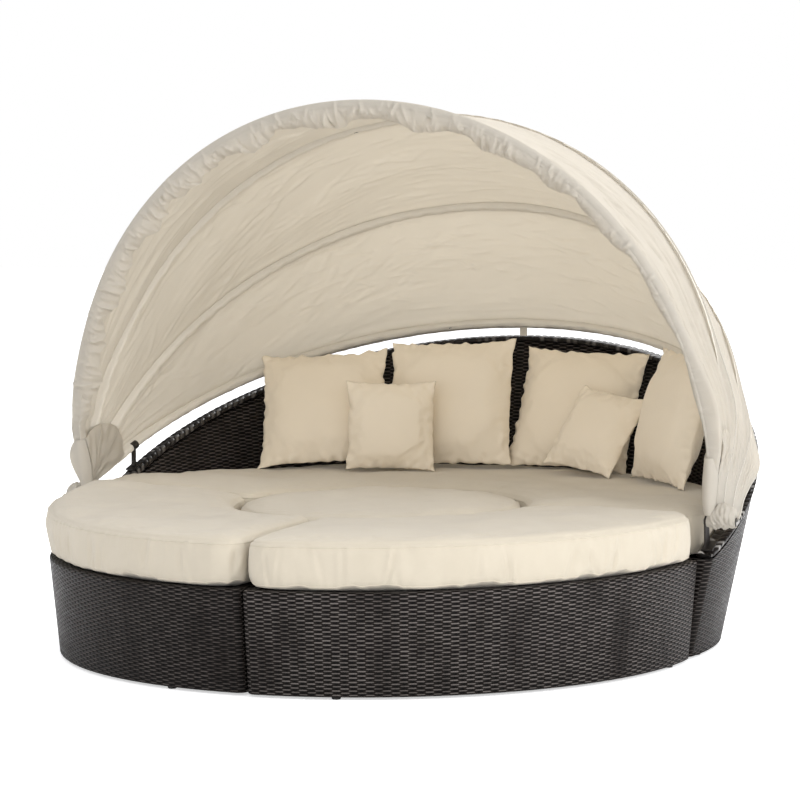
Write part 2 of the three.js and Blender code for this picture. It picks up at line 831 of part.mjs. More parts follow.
// Wall frame of the back sofa: posts that stand on the seat frame, and the rail under the rim
function backWallFrame() {
  const railRings = wallShares().slice(1, -1).map((share) => {
    const top = skinTop(share);
    const half = railWidth / 2;
    return [
      wallPoint(share, wallCentre - half, top - railHeight),
      wallPoint(share, wallCentre - half, top),
      wallPoint(share, wallCentre + half, top),
      wallPoint(share, wallCentre + half, top - railHeight),
    ];
  });
  const posts = Array.from({ length: backPostCount }, (_, i) => {
    const share = (i + 1) / (backPostCount + 1);
    const exact = Math.round(share * backArcSteps) / backArcSteps;
    const at = (height) => wallPoint(exact, wallCentre, height);
    const top = skinTop(exact) - railHeight + overrun;
    return upright(at, seatHoopTop, top, railWidth - seatGap, legWidth);
  });
  return joined([loft(railRings, false), ...posts]);
}

const backLegShares = [1 / 32, 11 / 32, 21 / 32, 31 / 32];
const backInnerLegShares = [4 / 16, 12 / 16];
const backBearerShares = [0.25, 0.5, 0.75];

// The deck and the cushion of the back sofa stop at the lining of the backrest
const backSeatPlan = {
  ...backPlan,
  outer: {
    y: 0,
    radius: backRadius + backFlare * deckBottom - wallThickness,
    flare: 0,
    steps: backArcSteps,
  },
};

function backSofa() {
  const group = new THREE.Group();
  group.add(node("back_outer_wicker", outerWall(), "weave"));
  group.add(node("back_lining_wicker", lining(), "weave"));
  group.add(node("back_base_wicker", backBaseSkin(), "weave"));
  group.add(node("back_rim", rim(), "weave"));
  group.add(node("back_floor_hoop", hoop(backPlan, bottomHoopBottom, bottomHoopTop), "tube"));
  group.add(node("back_seat_frame", backSeatFrame(), "tube"));
  group.add(node("back_wall_frame", backWallFrame(), "tube"));
  group.add(node("back_deck", deck(backSeatPlan, hoopInset), "deck"));
  const cushion = sectorCushion(backSeatPlan, backCushionClearance, backCushionSteps);
  group.add(node("back_cushion", cushion, "cushion"));
  addGlides(group, "back", glidePlaces(backPlan, backLegShares, backInnerLegShares));
  return group;
}

// Knife-edge pillow, standing in its own XZ plane with its lower edge on the origin's level
function pillow(size, thickness) {
  const cells = pillowCells;
  const half = size / 2;
  const points = [];
  const at = (i, j) => i * (cells + 1) + j;
  for (const side of [-1, 1]) {
    for (let i = 0; i <= cells; i++) {
      for (let j = 0; j <= cells; j++) {
        const u = Math.sin((Math.PI / 2) * ((2 * i) / cells - 1));
        const v = Math.sin((Math.PI / 2) * ((2 * j) / cells - 1));
        const fill = (1 - u ** pillowSwellPower) * (1 - v ** pillowSwellPower);
        const swell = fill ** pillowSwellRound * (1 - pillowDomeShare * (u * u + v * v));
        const depth = pillowEdge / 2 + (thickness / 2 - pillowEdge / 2) * swell;
        const x = u * half * (1 - pillowPull * (1 - v * v));
        const z = v * half * (1 - pillowPull * (1 - u * u));
        points.push(new THREE.Vector3(x, side * depth, z + half));
      }
    }
  }
  const back = (cells + 1) ** 2;
  const index = [];
  for (let i = 0; i < cells; i++) {
    for (let j = 0; j < cells; j++) {
      const [a, b, c, d] = [at(i, j), at(i + 1, j), at(i + 1, j + 1), at(i, j + 1)];
      index.push(a, b, c, a, c, d, back + a, back + c, back + b, back + a, back + d, back + c);
    }
  }
  const ring = boundary(cells, cells);
  ring.forEach((id, k) => {
    const next = ring[(k + 1) % ring.length];
    index.push(id, back + next, next, id, back + id, back + next);
  });
  return facingOut(points, index);
}

// Where the pillows stand on the seat, as shares of the radius of the back sofa.
// Each faces into the bed, leans back against the wall and rolls a little to one side, in degrees.
const pillowPlaceShares = [
  { name: "large_pillow_1", across: -0.531, back: 0.529, facing: -77, lean: 32, roll: -4, size: "large" },
  { name: "large_pillow_2", across: -0.131, back: 0.701, facing: -84, lean: 19, roll: -2, size: "large" },
  { name: "large_pillow_3", across: 0.283, back: 0.758, facing: -92, lean: 27, roll: 2, size: "large" },
  { name: "large_pillow_4", across: 0.704, back: 0.424, facing: -140, lean: 16, roll: 0.5, size: "large" },
  { name: "small_pillow_1", across: -0.264, back: 0.538, facing: -70, lean: 11, roll: 1, size: "small" },
  { name: "small_pillow_2", across: 0.4, back: 0.566, facing: -110, lean: 33, roll: 8, size: "small" },
];

// Lowers a piece onto the one under it, until only the gap is left between them
function settle(piece, seat) {
  piece.updateMatrixWorld(true);
  const drop = Math.min(clearance(piece, seat, -1), clearance(seat, piece, 1));
  piece.position.z -= drop - seatGap;
}

// Least height between the corners of one piece and the faces of another, looking up or down
function clearance(from, to, direction) {
  const ray = new THREE.Raycaster();
  const heading = new THREE.Vector3(0, 0, direction);
  const places = from.geometry.getAttribute("position");
  let least = Infinity;
  for (let i = 0; i < places.count; i++) {
    const corner = new THREE.Vector3().fromBufferAttribute(places, i).applyMatrix4(from.matrixWorld);
    ray.set(corner, heading);
    const [hit] = ray.intersectObject(to);
    if (hit) least = Math.min(least, hit.distance);
  }
  return least;
}

function addPillows(group, seat) {
  for (const { name, across, back, facing, lean, roll, size } of pillowPlaceShares) {
    const large = size === "large";
    const geometry = large
      ? pillow(largePillow, largePillowThickness)
      : pillow(smallPillow, smallPillowThickness);
    const mesh = node(name, geometry, "cushion");
    const half = (large ? largePillow : smallPillow) / 2;
    geometry.translate(0, 0, -half);
    geometry.rotateY(THREE.MathUtils.degToRad(roll));
    geometry.translate(0, 0, half);
    geometry.rotateX(-THREE.MathUtils.degToRad(lean));
    geometry.rotateZ(THREE.MathUtils.degToRad(facing + 90));
    mesh.position.set(across * backRadius, back * backRadius, cushionSeam + largePillow);
    settle(mesh, seat);
    group.add(mesh);
  }
}

// Centre line of a bow, from the right pin over the top to the left one
class BowCurve extends THREE.Curve {
  constructor(bow, end) {
    super();
    this.bow = bow;
    this.end = end;
    this.halfWidth = backRadius + bow.overhang;
    const turn = THREE.MathUtils.degToRad(bow.degrees);
    this.out = new THREE.Vector3(0, Math.cos(turn), Math.sin(turn));
  }

  // Place in the bow's own plane: across the bed, and away from the pin line
  flatPoint(share) {
    const { halfWidth } = this;
    const { reach } = this.bow;
    const legShare = legLength / (reach + halfWidth);
    const side = share < 0.5 ? 1 : -1;
    const fromEnd = Math.min(share, 1 - share);
    let across = halfWidth;
    let away = (fromEnd / legShare) * legLength;
    if (fromEnd > legShare) {
      const angle = ((fromEnd - legShare) / (0.5 - legShare)) * (Math.PI / 2);
      across = halfWidth * Math.cos(angle) ** (2 / archPower);
      away = legLength + (reach - legLength) * Math.sin(angle) ** (2 / archPower);
    }
    const bend = 1 - THREE.MathUtils.smoothstep(away, 0, joggleLength);
    return [side * (across + (this.end - halfWidth) * bend), away];
  }

  getPoint(share, target = new THREE.Vector3()) {
    const [across, away] = this.flatPoint(share);
    target.set(across, -pivotForward, pivotHeight);
    return target.addScaledVector(this.out, away);
  }
}

function bowEnd(place) {
  return innerBowEnd + place * bowPitch;
}

const frontCurve = new BowCurve(frontBow, bowEnd(0));
const secondCurve = new BowCurve(secondBow, bowEnd(1));
const thirdCurve = new BowCurve(thirdBow, bowEnd(2));
const rearCurve = new BowCurve(rearBow, bowEnd(3));

function tubeShape(radius, sides) {
  const points = Array.from({ length: sides }, (_, i) => {
    const angle = (2 * Math.PI * (i + 0.5)) / sides;
    return new THREE.Vector2(radius * Math.cos(angle), radius * Math.sin(angle));
  });
  return new THREE.Shape(points);
}

// Hub across the end of a bow, with the bore for the pin
function hub(x) {
  const barrel = new THREE.CylinderGeometry(hubRadius, hubRadius, hubLength, hubSides);
  barrel.rotateZ(Math.PI / 2);
  return barrel.translate(x, -pivotForward, pivotHeight);
}

function pinBore() {
  const radius = pinRadius + pinClearance;
  const bore = new THREE.CylinderGeometry(radius, radius, 4 * (outerBowEnd + hubLength), hubSides);
  return bore.rotateZ(Math.PI / 2).translate(0, -pivotForward, pivotHeight);
}

function bow(curve) {
  const tube = new THREE.ExtrudeGeometry(tubeShape(tubeRadius, bowSides), {
    steps: bowSteps,
    extrudePath: curve,
    bevelEnabled: false,
  });
  const whole = joined([tube, hub(curve.end), hub(-curve.end)]);
  return cut(whole, [pinBore()]);
}

// Line that the fabric follows over a bow, with the way out of the canopy at each point
function fabricLine(curve) {
  const start = fabricStart / (curve.bow.reach + curve.halfWidth);
  const shares = Array.from({ length: bowSteps + 1 }, (_, i) => curve.getUtoTmapping(i / bowSteps));
  shares[0] = start;
  shares[bowSteps] = 1 - start;
  const offset = tubeRadius + fabricClearance + fabricThickness;
  return shares.map((share) => {
    const [x, away] = curve.flatPoint(share);
    const [x0, away0] = curve.flatPoint(Math.max(share - slopeStep, 0));
    const [x1, away1] = curve.flatPoint(Math.min(share + slopeStep, 1));
    const slope = new THREE.Vector2(x1 - x0, away1 - away0).normalize();
    const spread = 1 - THREE.MathUtils.smoothstep(away, fabricStart, fabricBlendShare * joggleLength);
    const past = Math.sign(x) * (outerBowEnd - curve.end) * spread;
    const out = new THREE.Vector3(slope.y, 0, 0).addScaledVector(curve.out, -slope.x);
    const point = new THREE.Vector3(x + past, -pivotForward, pivotHeight);
    point.addScaledVector(curve.out, away).addScaledVector(out, offset);
    return { point, out };
  });
}

// Fabric between two bows, sagging a little between them
function gore(front, rear) {
  const across = goreCells;
  const a = fabricLine(front);
  const b = fabricLine(rear);
  const surface = (depth) => {
    const rows = a.map((from, i) => {
      const to = b[i];
      return Array.from({ length: across + 1 }, (_, j) => {
        const share = j / across;
        const out = from.out.clone().lerp(to.out, share).normalize();
        const width = from.point.distanceTo(to.point);
        const sag = fabricSag * 4 * share * (1 - share) * Math.min(width / legLength / 2, 1);
        const edge = share === 0 ? -1 : share === 1 ? 1 : 0;
        const inwards = to.point.clone().sub(from.point).normalize();
        const point = from.point.clone().lerp(to.point, share);
        point.addScaledVector(inwards, -edge * seatGap);
        return point.addScaledVector(out, -sag - depth);
      });
    });
    return rows;
  };
  const top = surface(0);
  const under = surface(fabricThickness);
  const rings = top.map((row, i) => [...row, ...under[i].slice().reverse()]);
  return loft(rings, false);
}

// Strap that ties the rear hem to the rim
function strap() {
  const top = rearCurve.getPoint(0.5);
  const height = top.z - tubeRadius - 2 * seatGap - (wallTopBack + footRise);
  const geometry = new THREE.BoxGeometry(strapWidth, strapThickness, height);
  return geometry.translate(0, top.y, wallTopBack + footRise + height / 2);
}

// Matrix that stands something on the rim at a share of its sweep: X outwards, Y along the rim
function onRim(share, lift) {
  const step = 1 / backArcSteps;
  const cell = Math.floor(share / step);
  const from = wallPoint(cell * step, wallCentre, wallTop(cell * step));
  const to = wallPoint((cell + 1) * step, wallCentre, wallTop((cell + 1) * step));
  const along = to.clone().sub(from);
  const place = from.clone().addScaledVector(along, share / step - cell);
  const outwards = wallPoint(share, 0, place.z).sub(wallPoint(share, wallThickness, place.z));
  outwards.normalize();
  const up = new THREE.Vector3().crossVectors(outwards, along).normalize();
  along.crossVectors(up, outwards);
  place.addScaledVector(up, lift);
  return new THREE.Matrix4().makeBasis(outwards, along, up).setPosition(place);
}

function foot(length, width, share) {
  const plate = new THREE.BoxGeometry(width, length, plateThickness);
  return plate.applyMatrix4(onRim(share, footRise + plateThickness / 2));
}

// Bracket that carries the pin: a foot on the rim and an upright plate with a round head
function pivotBracket() {
  const share = nearestShare(-pivotForward + bracketHeadRadius / 2);
  const stand = onRim(share, footRise + plateThickness / 2);
  const seat = new THREE.Vector3().setFromMatrixPosition(stand);
  const along = new THREE.Vector3().setFromMatrixColumn(stand, 1);
  const climb = ((along.z / along.y) * bracketBase) / 2;
  const low = seat.z - pivotHeight;
  const place = seat.y + pivotForward;
  const shape = new THREE.Shape();
  shape.moveTo(place - bracketBase / 2, low - climb);
  shape.lineTo(place + bracketBase / 2, low + climb);
  shape.lineTo(bracketHeadRadius, 0);
  shape.absarc(0, 0, bracketHeadRadius, 0, Math.PI, false);
  const plate = new THREE.ExtrudeGeometry(shape, {
    depth: plateThickness,
    bevelEnabled: false,
    curveSegments: headSteps,
  });
  const inner = innerBowEnd - hubLength / 2 - seatGap - plateThickness;
  plate.applyMatrix4(
    new THREE.Matrix4().makeBasis(
      new THREE.Vector3(0, 1, 0),
      new THREE.Vector3(0, 0, 1),
      new THREE.Vector3(1, 0, 0),
    ),
  );
  plate.translate(inner, -pivotForward, pivotHeight);
  return cut(joined([plate, foot(bracketFootLength, bracketFootWidth, share)]), [pinBore()]);
}

// Share of the wall's sweep at a place in Y, on the right side
function nearestShare(y) {
  const shares = Array.from({ length: 400 }, (_, i) => i / 800);
  const off = (share) => Math.abs(wallPoint(share, wallCentre, wallTop(share)).y - y);
  return shares.reduce((best, share) => (off(share) < off(best) ? share : best));
}

// Pin with a head at each end
function pivotPin() {
  const from = innerBowEnd - hubLength / 2 - 2 * seatGap - plateThickness;
  const to = outerBowEnd + hubLength / 2 + seatGap;
  const profile = [
    new THREE.Vector2(0, from - pinHeadLength),
    new THREE.Vector2(pinHeadRadius, from - pinHeadLength),
    new THREE.Vector2(pinHeadRadius, from),
    new THREE.Vector2(pinRadius, from),
    new THREE.Vector2(pinRadius, to),
    new THREE.Vector2(pinHeadRadius, to),
    new THREE.Vector2(pinHeadRadius, to + pinHeadLength / 2),
    new THREE.Vector2(pinHeadRadius / 2, to + pinHeadLength),
    new THREE.Vector2(0, to + pinHeadLength),
  ];
  const geometry = new THREE.LatheGeometry(profile, hubSides);
  return geometry.rotateZ(-Math.PI / 2).translate(0, -pivotForward, pivotHeight);
}

// Clamp that holds the rear bow above the rim: a foot, a post and a saddle around the tube,
// closed on the side of the post and open on its outer side
function bowClamp() {
  const [middle, along] = onTube(rearCurve, clampDistance);
  const share = nearestShare(middle.y);
  const seat = new THREE.Vector3().setFromMatrixPosition(onRim(share, footRise + plateThickness));
  const ringOuter = tubeRadius + clampClearance + clampWall;
  const ring = new THREE.CylinderGeometry(ringOuter, ringOuter, clampLength, ringSides);
  const boreRadius = tubeRadius + clampClearance;
  const bore = new THREE.CylinderGeometry(boreRadius, boreRadius, clampLength * 2, ringSides);
  const open = new THREE.BoxGeometry(ringOuter, clampLength * 2, 2 * ringOuter + overrun);
  open.translate(ringOuter / 2 + clampPost / 2 - ringOuter / 4, 0, 0);
  const up = middle.clone().sub(seat);
  up.addScaledVector(along, -up.dot(along)).normalize();
  const turn = new THREE.Matrix4().makeBasis(along.clone().cross(up), along, up);
  for (const piece of [ring, bore, open]) {
    piece.applyMatrix4(turn).translate(middle.x, middle.y, middle.z);
  }
  const post = bar(seat, middle, clampPost, clampPost, new THREE.Vector3(1, 0, 0));
  const saddle = cut(ring, [open]);
  const whole = joined([saddle, post, foot(clampFootLength, clampFootWidth, share)]);
  return cut(whole, [bore]);
}

// Middle and direction of the straight stretch of a bow's tube at a distance from the pin
function onTube(curve, distance) {
  const pin = new THREE.Vector3(curve.end, -pivotForward, pivotHeight);
  const points = curve.getSpacedPoints(bowSteps);
  const k = points.findIndex((point) => point.distanceTo(pin) > distance);
  const along = points[k].clone().sub(points[k - 1]).normalize();
  return [points[k].clone().add(points[k - 1]).multiplyScalar(0.5), along];
}

// Copy of a piece on the other side of the bed
function mirrored(mesh, name) {
  const group = new THREE.Group();
  const copy = mesh.clone();
  copy.material = mesh.material.clone();
  copy.name = name;
  group.scale.x = -1;
  group.add(copy);
  return group;
}

function addPair(group, name, geometry, finish) {
  const right = node(`${name}_right`, geometry, finish);
  group.add(right, mirrored(right, `${name}_left`));
}

function canopy() {
  const group = new THREE.Group();
  addPair(group, "pivot_bracket", pivotBracket(), "tube");
  addPair(group, "pivot_pin", pivotPin(), "steel");
  addPair(group, "rear_bow_clamp", bowClamp(), "tube");
  group.add(node("rear_bow", bow(rearCurve), "tube"));
  group.add(node("third_bow", bow(thirdCurve), "tube"));
  group.add(node("second_bow", bow(secondCurve), "tube"));
  group.add(node("front_bow", bow(frontCurve), "tube"));
  group.add(node("canopy_rear_panel", gore(thirdCurve, rearCurve), "canopy"));
  group.add(node("canopy_middle_panel", gore(secondCurve, thirdCurve), "canopy"));
  group.add(node("canopy_front_panel", gore(frontCurve, secondCurve), "canopy"));
  group.add(node("rear_tie_strap", strap(), "canopy"));
  return group;
}

// The whole bed, with its origin on the floor under the middle of its box
const daybed = new THREE.Group();
const rightOttoman = ottoman("right_ottoman");
rightOttoman.position.y = -rightStandsOut;
const leftOttoman = ottoman("left_ottoman");
leftOttoman.scale.x = -1;
const sofa = backSofa();
addPillows(sofa, sofa.getObjectByName("back_cushion"));
daybed.add(sofa, leftOttoman, rightOttoman, middleOttoman(), canopy());
const box = new THREE.Box3().setFromObject(daybed, true);
daybed.position.y = -(box.min.y + box.max.y) / 2;

export default daybed;
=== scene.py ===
"""Round outdoor daybed with woven modules, thick cushions, pillows and a folding fabric canopy.

Every new piece is a surface worked out with numpy on a grid of two shares, in metres, in the
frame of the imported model. Heights are Z, the open front of the bed faces -Y.
"""

import math

import bmesh
import bpy
import numpy as np
from mathutils import Matrix, Vector


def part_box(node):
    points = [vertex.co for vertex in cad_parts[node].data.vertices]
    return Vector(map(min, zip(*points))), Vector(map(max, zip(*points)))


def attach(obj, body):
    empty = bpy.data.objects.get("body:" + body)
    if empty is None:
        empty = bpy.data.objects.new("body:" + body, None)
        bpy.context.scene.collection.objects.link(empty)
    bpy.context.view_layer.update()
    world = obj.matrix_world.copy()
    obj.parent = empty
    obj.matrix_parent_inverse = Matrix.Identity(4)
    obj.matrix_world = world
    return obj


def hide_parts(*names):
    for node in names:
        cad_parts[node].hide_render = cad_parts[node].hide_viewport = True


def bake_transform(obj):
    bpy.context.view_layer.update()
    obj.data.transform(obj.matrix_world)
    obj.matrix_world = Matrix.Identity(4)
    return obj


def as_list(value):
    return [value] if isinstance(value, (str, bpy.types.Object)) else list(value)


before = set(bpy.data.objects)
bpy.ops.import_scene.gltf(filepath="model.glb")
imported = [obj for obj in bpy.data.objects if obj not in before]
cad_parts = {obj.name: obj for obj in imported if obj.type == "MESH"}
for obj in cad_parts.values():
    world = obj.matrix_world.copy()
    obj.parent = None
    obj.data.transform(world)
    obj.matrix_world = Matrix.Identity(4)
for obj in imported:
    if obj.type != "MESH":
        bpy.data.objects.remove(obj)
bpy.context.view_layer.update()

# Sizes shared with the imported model: the pin that the bows turn on, the arcs' middle, and each
# wall's radius at the floor with its flare
PIN = (Vector(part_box("pivot_pin_right")[0]) + Vector(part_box("pivot_pin_right")[1])) / 2
PIN_Y, PIN_Z = -0.126, 0.418
SHIFT = np.array([0.0, PIN.y - PIN_Y, 0.0])
ARC_CENTRE = -0.176
BACK_RADIUS, BACK_FLARE = 0.998, math.tan(math.radians(12.3))
OTTOMAN_RADIUS, OTTOMAN_FLARE = 0.996, math.tan(math.radians(5.4))
ROUND_RADIUS, HOLLOW_RADIUS = 0.440, 0.448
# The plan's corners and gaps, the woven skin, the backrest's wall and its rim
CORNER, GAP, SPLIT = 0.026, 0.004, ARC_CENTRE + 0.026
SKIN, SKIN_BOTTOM, BASE_TOP, FLANGE = 0.007, 0.008, 0.307, 0.042
WALL, RIM_LOW, RIM_HIGH, RIM_TALL, RIM_GAP = 0.045, 0.328, 0.891, 0.020, 0.00095
BRAID_PITCH, BRAID_LEAN = 0.026, 0.62
# The seat cushions: level, thickness, crown, and how far top and underside keep from the outline
SEAT, CUSHION, CROWN, TOP_INSET, UNDER = 0.3073, 0.132, 0.024, 0.010, 0.034
PILLOW_DRAWN, PILLOW_MOVE = 0.045, 0.008
TUBE = 0.010
RIGHT_FORWARD = np.array([0.0, -0.010, 0.0])


# Noise and easing


def ripple(places, wavelength, seed, waves=18):
    """Smooth random height of about 1: a sum of plane waves cos(k.p + a) of nearly one
    wavelength, whose directions k and phases a are random but seeded."""
    rng = np.random.default_rng(seed)
    heading = rng.normal(size=(waves, places.shape[-1]))
    heading /= np.linalg.norm(heading, axis=1, keepdims=True)
    heading *= (2 * np.pi / (wavelength * rng.uniform(0.7, 1.5, waves)))[:, None]
    phase = rng.uniform(0, 2 * np.pi, waves)
    return np.cos(places @ heading.T + phase).sum(axis=-1) / math.sqrt(waves / 2)


def ease(value, low, high):
    """Smooth step 3t^2 - 2t^3 from 0 at low to 1 at high."""
    t = np.clip((value - low) / (high - low), 0, 1)
    return t * t * (3 - 2 * t)


def unit(vectors):
    return vectors / np.maximum(np.linalg.norm(vectors, axis=-1, keepdims=True), 1e-12)


# Meshes


def grid_cells(rows, columns, wrap_rows, wrap_columns):
    """Row and column of each face of a grid of points, closed on itself where it wraps."""
    down = np.arange(rows if wrap_rows else rows - 1)
    along = np.arange(columns if wrap_columns else columns - 1)
    i, j = np.meshgrid(down, along, indexing="ij")
    return i.ravel(), j.ravel()


def quads(rows, columns, wrap_rows=False, wrap_columns=False):
    """Corner numbers of the faces of a grid of points."""
    i, j = grid_cells(rows, columns, wrap_rows, wrap_columns)
    k, m = (i + 1) % rows, (j + 1) % columns
    return np.stack([i * columns + j, i * columns + m, k * columns + m, k * columns + j], axis=1)


def piece(name, places, faces, uv=None, material=None):
    """Mesh of quads in the model's frame. Its faces are turned round where they would enclose a
    negative volume, the sum of a.(b x c) over its triangles. uv holds one pair per face corner."""
    places = places.reshape(-1, 3) + SHIFT
    a, b, c, d = (places[faces[:, k]] for k in range(4))
    volume = np.einsum("ij,ij->i", a, np.cross(b, c) + np.cross(c, d)).sum()
    if volume < 0:
        faces = faces[:, ::-1]
        uv = None if uv is None else uv[:, ::-1]
    mesh = bpy.data.meshes.new(name)
    mesh.vertices.add(len(places))
    mesh.vertices.foreach_set("co", places.astype(np.float32).ravel())
    mesh.loops.add(faces.size)
    mesh.loops.foreach_set("vertex_index", faces.astype(np.int32).ravel())
    mesh.polygons.add(len(faces))
    mesh.polygons.foreach_set("loop_start", np.arange(0, faces.size, 4, dtype=np.int32))
    if uv is not None:
        layer = mesh.uv_layers.new(name="UVMap")
        layer.data.foreach_set("uv", uv.astype(np.float32).ravel())
    mesh.update(calc_edges=True)
    mesh.validate()
    mesh.polygons.foreach_set("use_smooth", np.ones(len(mesh.polygons), dtype=bool))
    made = bpy.data.objects.new(name, mesh)
    bpy.context.scene.collection.objects.link(made)
    if material is not None:
        mesh.materials.append(material)
    return made


def corner_uv(s, t, rows, columns, wrap_rows=False, wrap_columns=False):
    """UV of the face corners of a grid. s and t hold one more row or column where it wraps."""
    i, j = grid_cells(rows, columns, wrap_rows, wrap_columns)
    at = lambda k, m: np.stack([s[k, m], t[k, m]], axis=-1)
    return np.stack([at(i, j), at(i, j + 1), at(i + 1, j + 1), at(i + 1, j)], axis=1)


def sheet_solid(name, outer, inner, s, t, material):
    """Closed solid between two grids of the same shape: both faces, and four narrow edges."""
    rows, columns = outer.shape[:2]
    count = rows * columns
    top = quads(rows, columns)
    uv = corner_uv(s, t, rows, columns)
    ring = boundary(rows, columns)
    after = np.roll(ring, -1)
    edge = np.stack([ring, ring + count, after + count, after], axis=1)
    flat = np.stack([s.ravel(), t.ravel()], axis=-1)
    edge_uv = np.stack([flat[k] for k in (ring, ring, after, after)], axis=1)
    faces = np.concatenate([top, (top + count)[:, ::-1], edge])
    uvs = np.concatenate([uv, uv[:, ::-1], edge_uv])
    return piece(name, np.concatenate([outer.reshape(-1, 3), inner.reshape(-1, 3)]), faces, uvs, material)


def boundary(rows, columns):
    """Numbers of the outer points of a grid, once round."""
    at = np.arange(rows * columns).reshape(rows, columns)
    return np.concatenate([at[:-1, 0], at[-1, :-1], at[:0:-1, -1], at[0, :0:-1]])


def lengths(points, closed=False):
    """Running length along a line of points."""
    end = points[:1] if closed else points[-1:]
    steps = np.linalg.norm(np.diff(points, axis=0, append=end), axis=-1)
    run = np.concatenate([[0], np.cumsum(steps)])
    return run if closed else run[:-1]


def surface_area(grid):
    """Area of a grid of points: the sum of |a x b| over its cells."""
    sides = np.diff(grid, axis=0)[:, :-1], np.diff(grid, axis=1)[:-1]
    return float(np.linalg.norm(np.cross(*sides), axis=-1).sum())


def cap_quads(near, far):
    """Quads across both ends of a sweep, from the numbers of the points round each end: every
    two neighbours are joined to the two opposite them."""
    k = np.arange(len(near) // 2 - 1)
    o = len(near) - 1 - k
    first = np.stack([near[k], near[k + 1], near[o - 1], near[o]], axis=1)
    return np.concatenate([first, np.stack([far[k], far[o], far[o - 1], far[k + 1]], axis=1)])


def read_places(mesh):
    places = np.empty(len(mesh.vertices) * 3, np.float32)
    mesh.vertices.foreach_get("co", places)
    return places.reshape(-1, 3)


def merge(made, distance=1e-5):
    """Merges doubled points and turns every face outwards."""
    work = bmesh.new()
    work.from_mesh(made.data)
    bmesh.ops.remove_doubles(work, verts=work.verts, dist=distance)
    bmesh.ops.dissolve_degenerate(work, edges=work.edges, dist=distance)
    bmesh.ops.recalc_face_normals(work, faces=work.faces)
    work.to_mesh(made.data)
    work.free()


# Shaders


class Term:
    """A shader socket that takes part in sums and products as a number does."""

    def __init__(self, tree, socket):
        self.tree, self.socket = tree, socket

    def apply(self, operation, *others, first=None):
        node = self.tree.nodes.new("ShaderNodeMath")
        node.operation = operation
        values = (self, *others) if first is None else (first, self, *others)
        for place, value in enumerate(values):
            if isinstance(value, Term):
                self.tree.links.new(value.socket, node.inputs[place])
            else:
                node.inputs[place].default_value = value
        return Term(self.tree, node.outputs[0])

    def __add__(self, other):
        return self.apply("ADD", other)

    def __sub__(self, other):
        return self.apply("SUBTRACT", other)

    def __rsub__(self, other):
        return self.apply("SUBTRACT", first=other)

    def __mul__(self, other):
        return self.apply("MULTIPLY", other)

    def __truediv__(self, other):
        return self.apply("DIVIDE", other)

    def __pow__(self, other):
        return self.apply("POWER", other)

    __radd__, __rmul__ = __add__, __mul__

    def floor(self):
        return self.apply("FLOOR")

    def part(self):
        return self.apply("FRACT")

    def size(self):
        return self.apply("ABSOLUTE")

    def wave(self):
        """Cosine of a number of turns, lifted to run from 0 to 1."""
        return (self * (2 * math.pi)).apply("COSINE") * 0.5 + 0.5

    def between(self, low, high):
        """Smooth step from 0 at low to 1 at high."""
        node = self.tree.nodes.new("ShaderNodeMapRange")
        node.interpolation_type = "SMOOTHSTEP"
        self.tree.links.new(self.socket, node.inputs["Value"])
        node.inputs["From Min"].default_value = low
        node.inputs["From Max"].default_value = high
        return Term(self.tree, node.outputs["Result"])

    def chance(self):
        """Random number from 0 to 1 that is the same wherever this value is the same."""
        node = self.tree.nodes.new("ShaderNodeTexWhiteNoise")
        node.noise_dimensions = "1D"
        self.tree.links.new(self.socket, node.inputs["W"])
        return Term(self.tree, node.outputs["Value"])


class Finish:
    """A material or a world, whose nodes are made one call at a time."""

    def __init__(self, made):
        self.made = bpy.data.materials.new(made) if isinstance(made, str) else made
        self.made.use_nodes = True
        self.tree = self.made.node_tree
        self.tree.nodes.clear()

    def node(self, kind, settings=(), values=(), output=0):
        """Node of a type, with its settings first and then the values or links of its sockets."""
        made = self.tree.nodes.new("ShaderNode" + kind)
        for key, value in dict(settings).items():
            setattr(made, key, value)
        for key, value in dict(values).items():
            if isinstance(value, Term):
                self.tree.links.new(value.socket, made.inputs[key])
            else:
                made.inputs[key].default_value = value
        return Term(self.tree, made.outputs[output]) if made.outputs else None

    def own_uv(self):
        return self.split(self.node("UVMap", {"uv_map": "UVMap"}))

    def split(self, vector):
        made = self.tree.nodes.new("ShaderNodeSeparateXYZ")
        self.tree.links.new(vector.socket, made.inputs[0])
        return [Term(self.tree, made.outputs[k]) for k in range(3)]

    def join(self, x, y, z=0.0):
        return self.node("CombineXYZ", (), {"X": x, "Y": y, "Z": z})

    def object_place(self):
        return self.node("TexCoord", output=3)

    def noise(self, place, scale, detail=3.0, rough=0.5):
        values = {"Vector": place, "Scale": scale, "Detail": detail, "Roughness": rough}
        return self.node("TexNoise", (), values)

    def blend(self, share, first, second):
        """Colour between two others."""
        made = self.tree.nodes.new("ShaderNodeMix")
        made.data_type = "RGBA"
        for place, value in ((0, share), (6, first), (7, second)):
            if isinstance(value, Term):
                self.tree.links.new(value.socket, made.inputs[place])
            else:
                made.inputs[place].default_value = value if place == 0 else (*value, 1.0)
        return Term(self.tree, made.outputs[2])

    def bump(self, height, distance, strength=1.0, normal=None):
        values = {"Height": height, "Distance": distance, "Strength": strength}
        if normal is not None:
            values["Normal"] = normal
        return self.node("Bump", (), values)

    def surface(self, **values):
        named = {key.replace("_", " "): value for key, value in values.items()}
        for key, value in named.items():
            if "Color" in key and not isinstance(value, Term):
                named[key] = (*value, 1.0)
        return self.node("BsdfPrincipled", (), named)

    def done(self, shader, output="OutputMaterial"):
        self.node(output, (), {"Surface": shader})
        return self.made


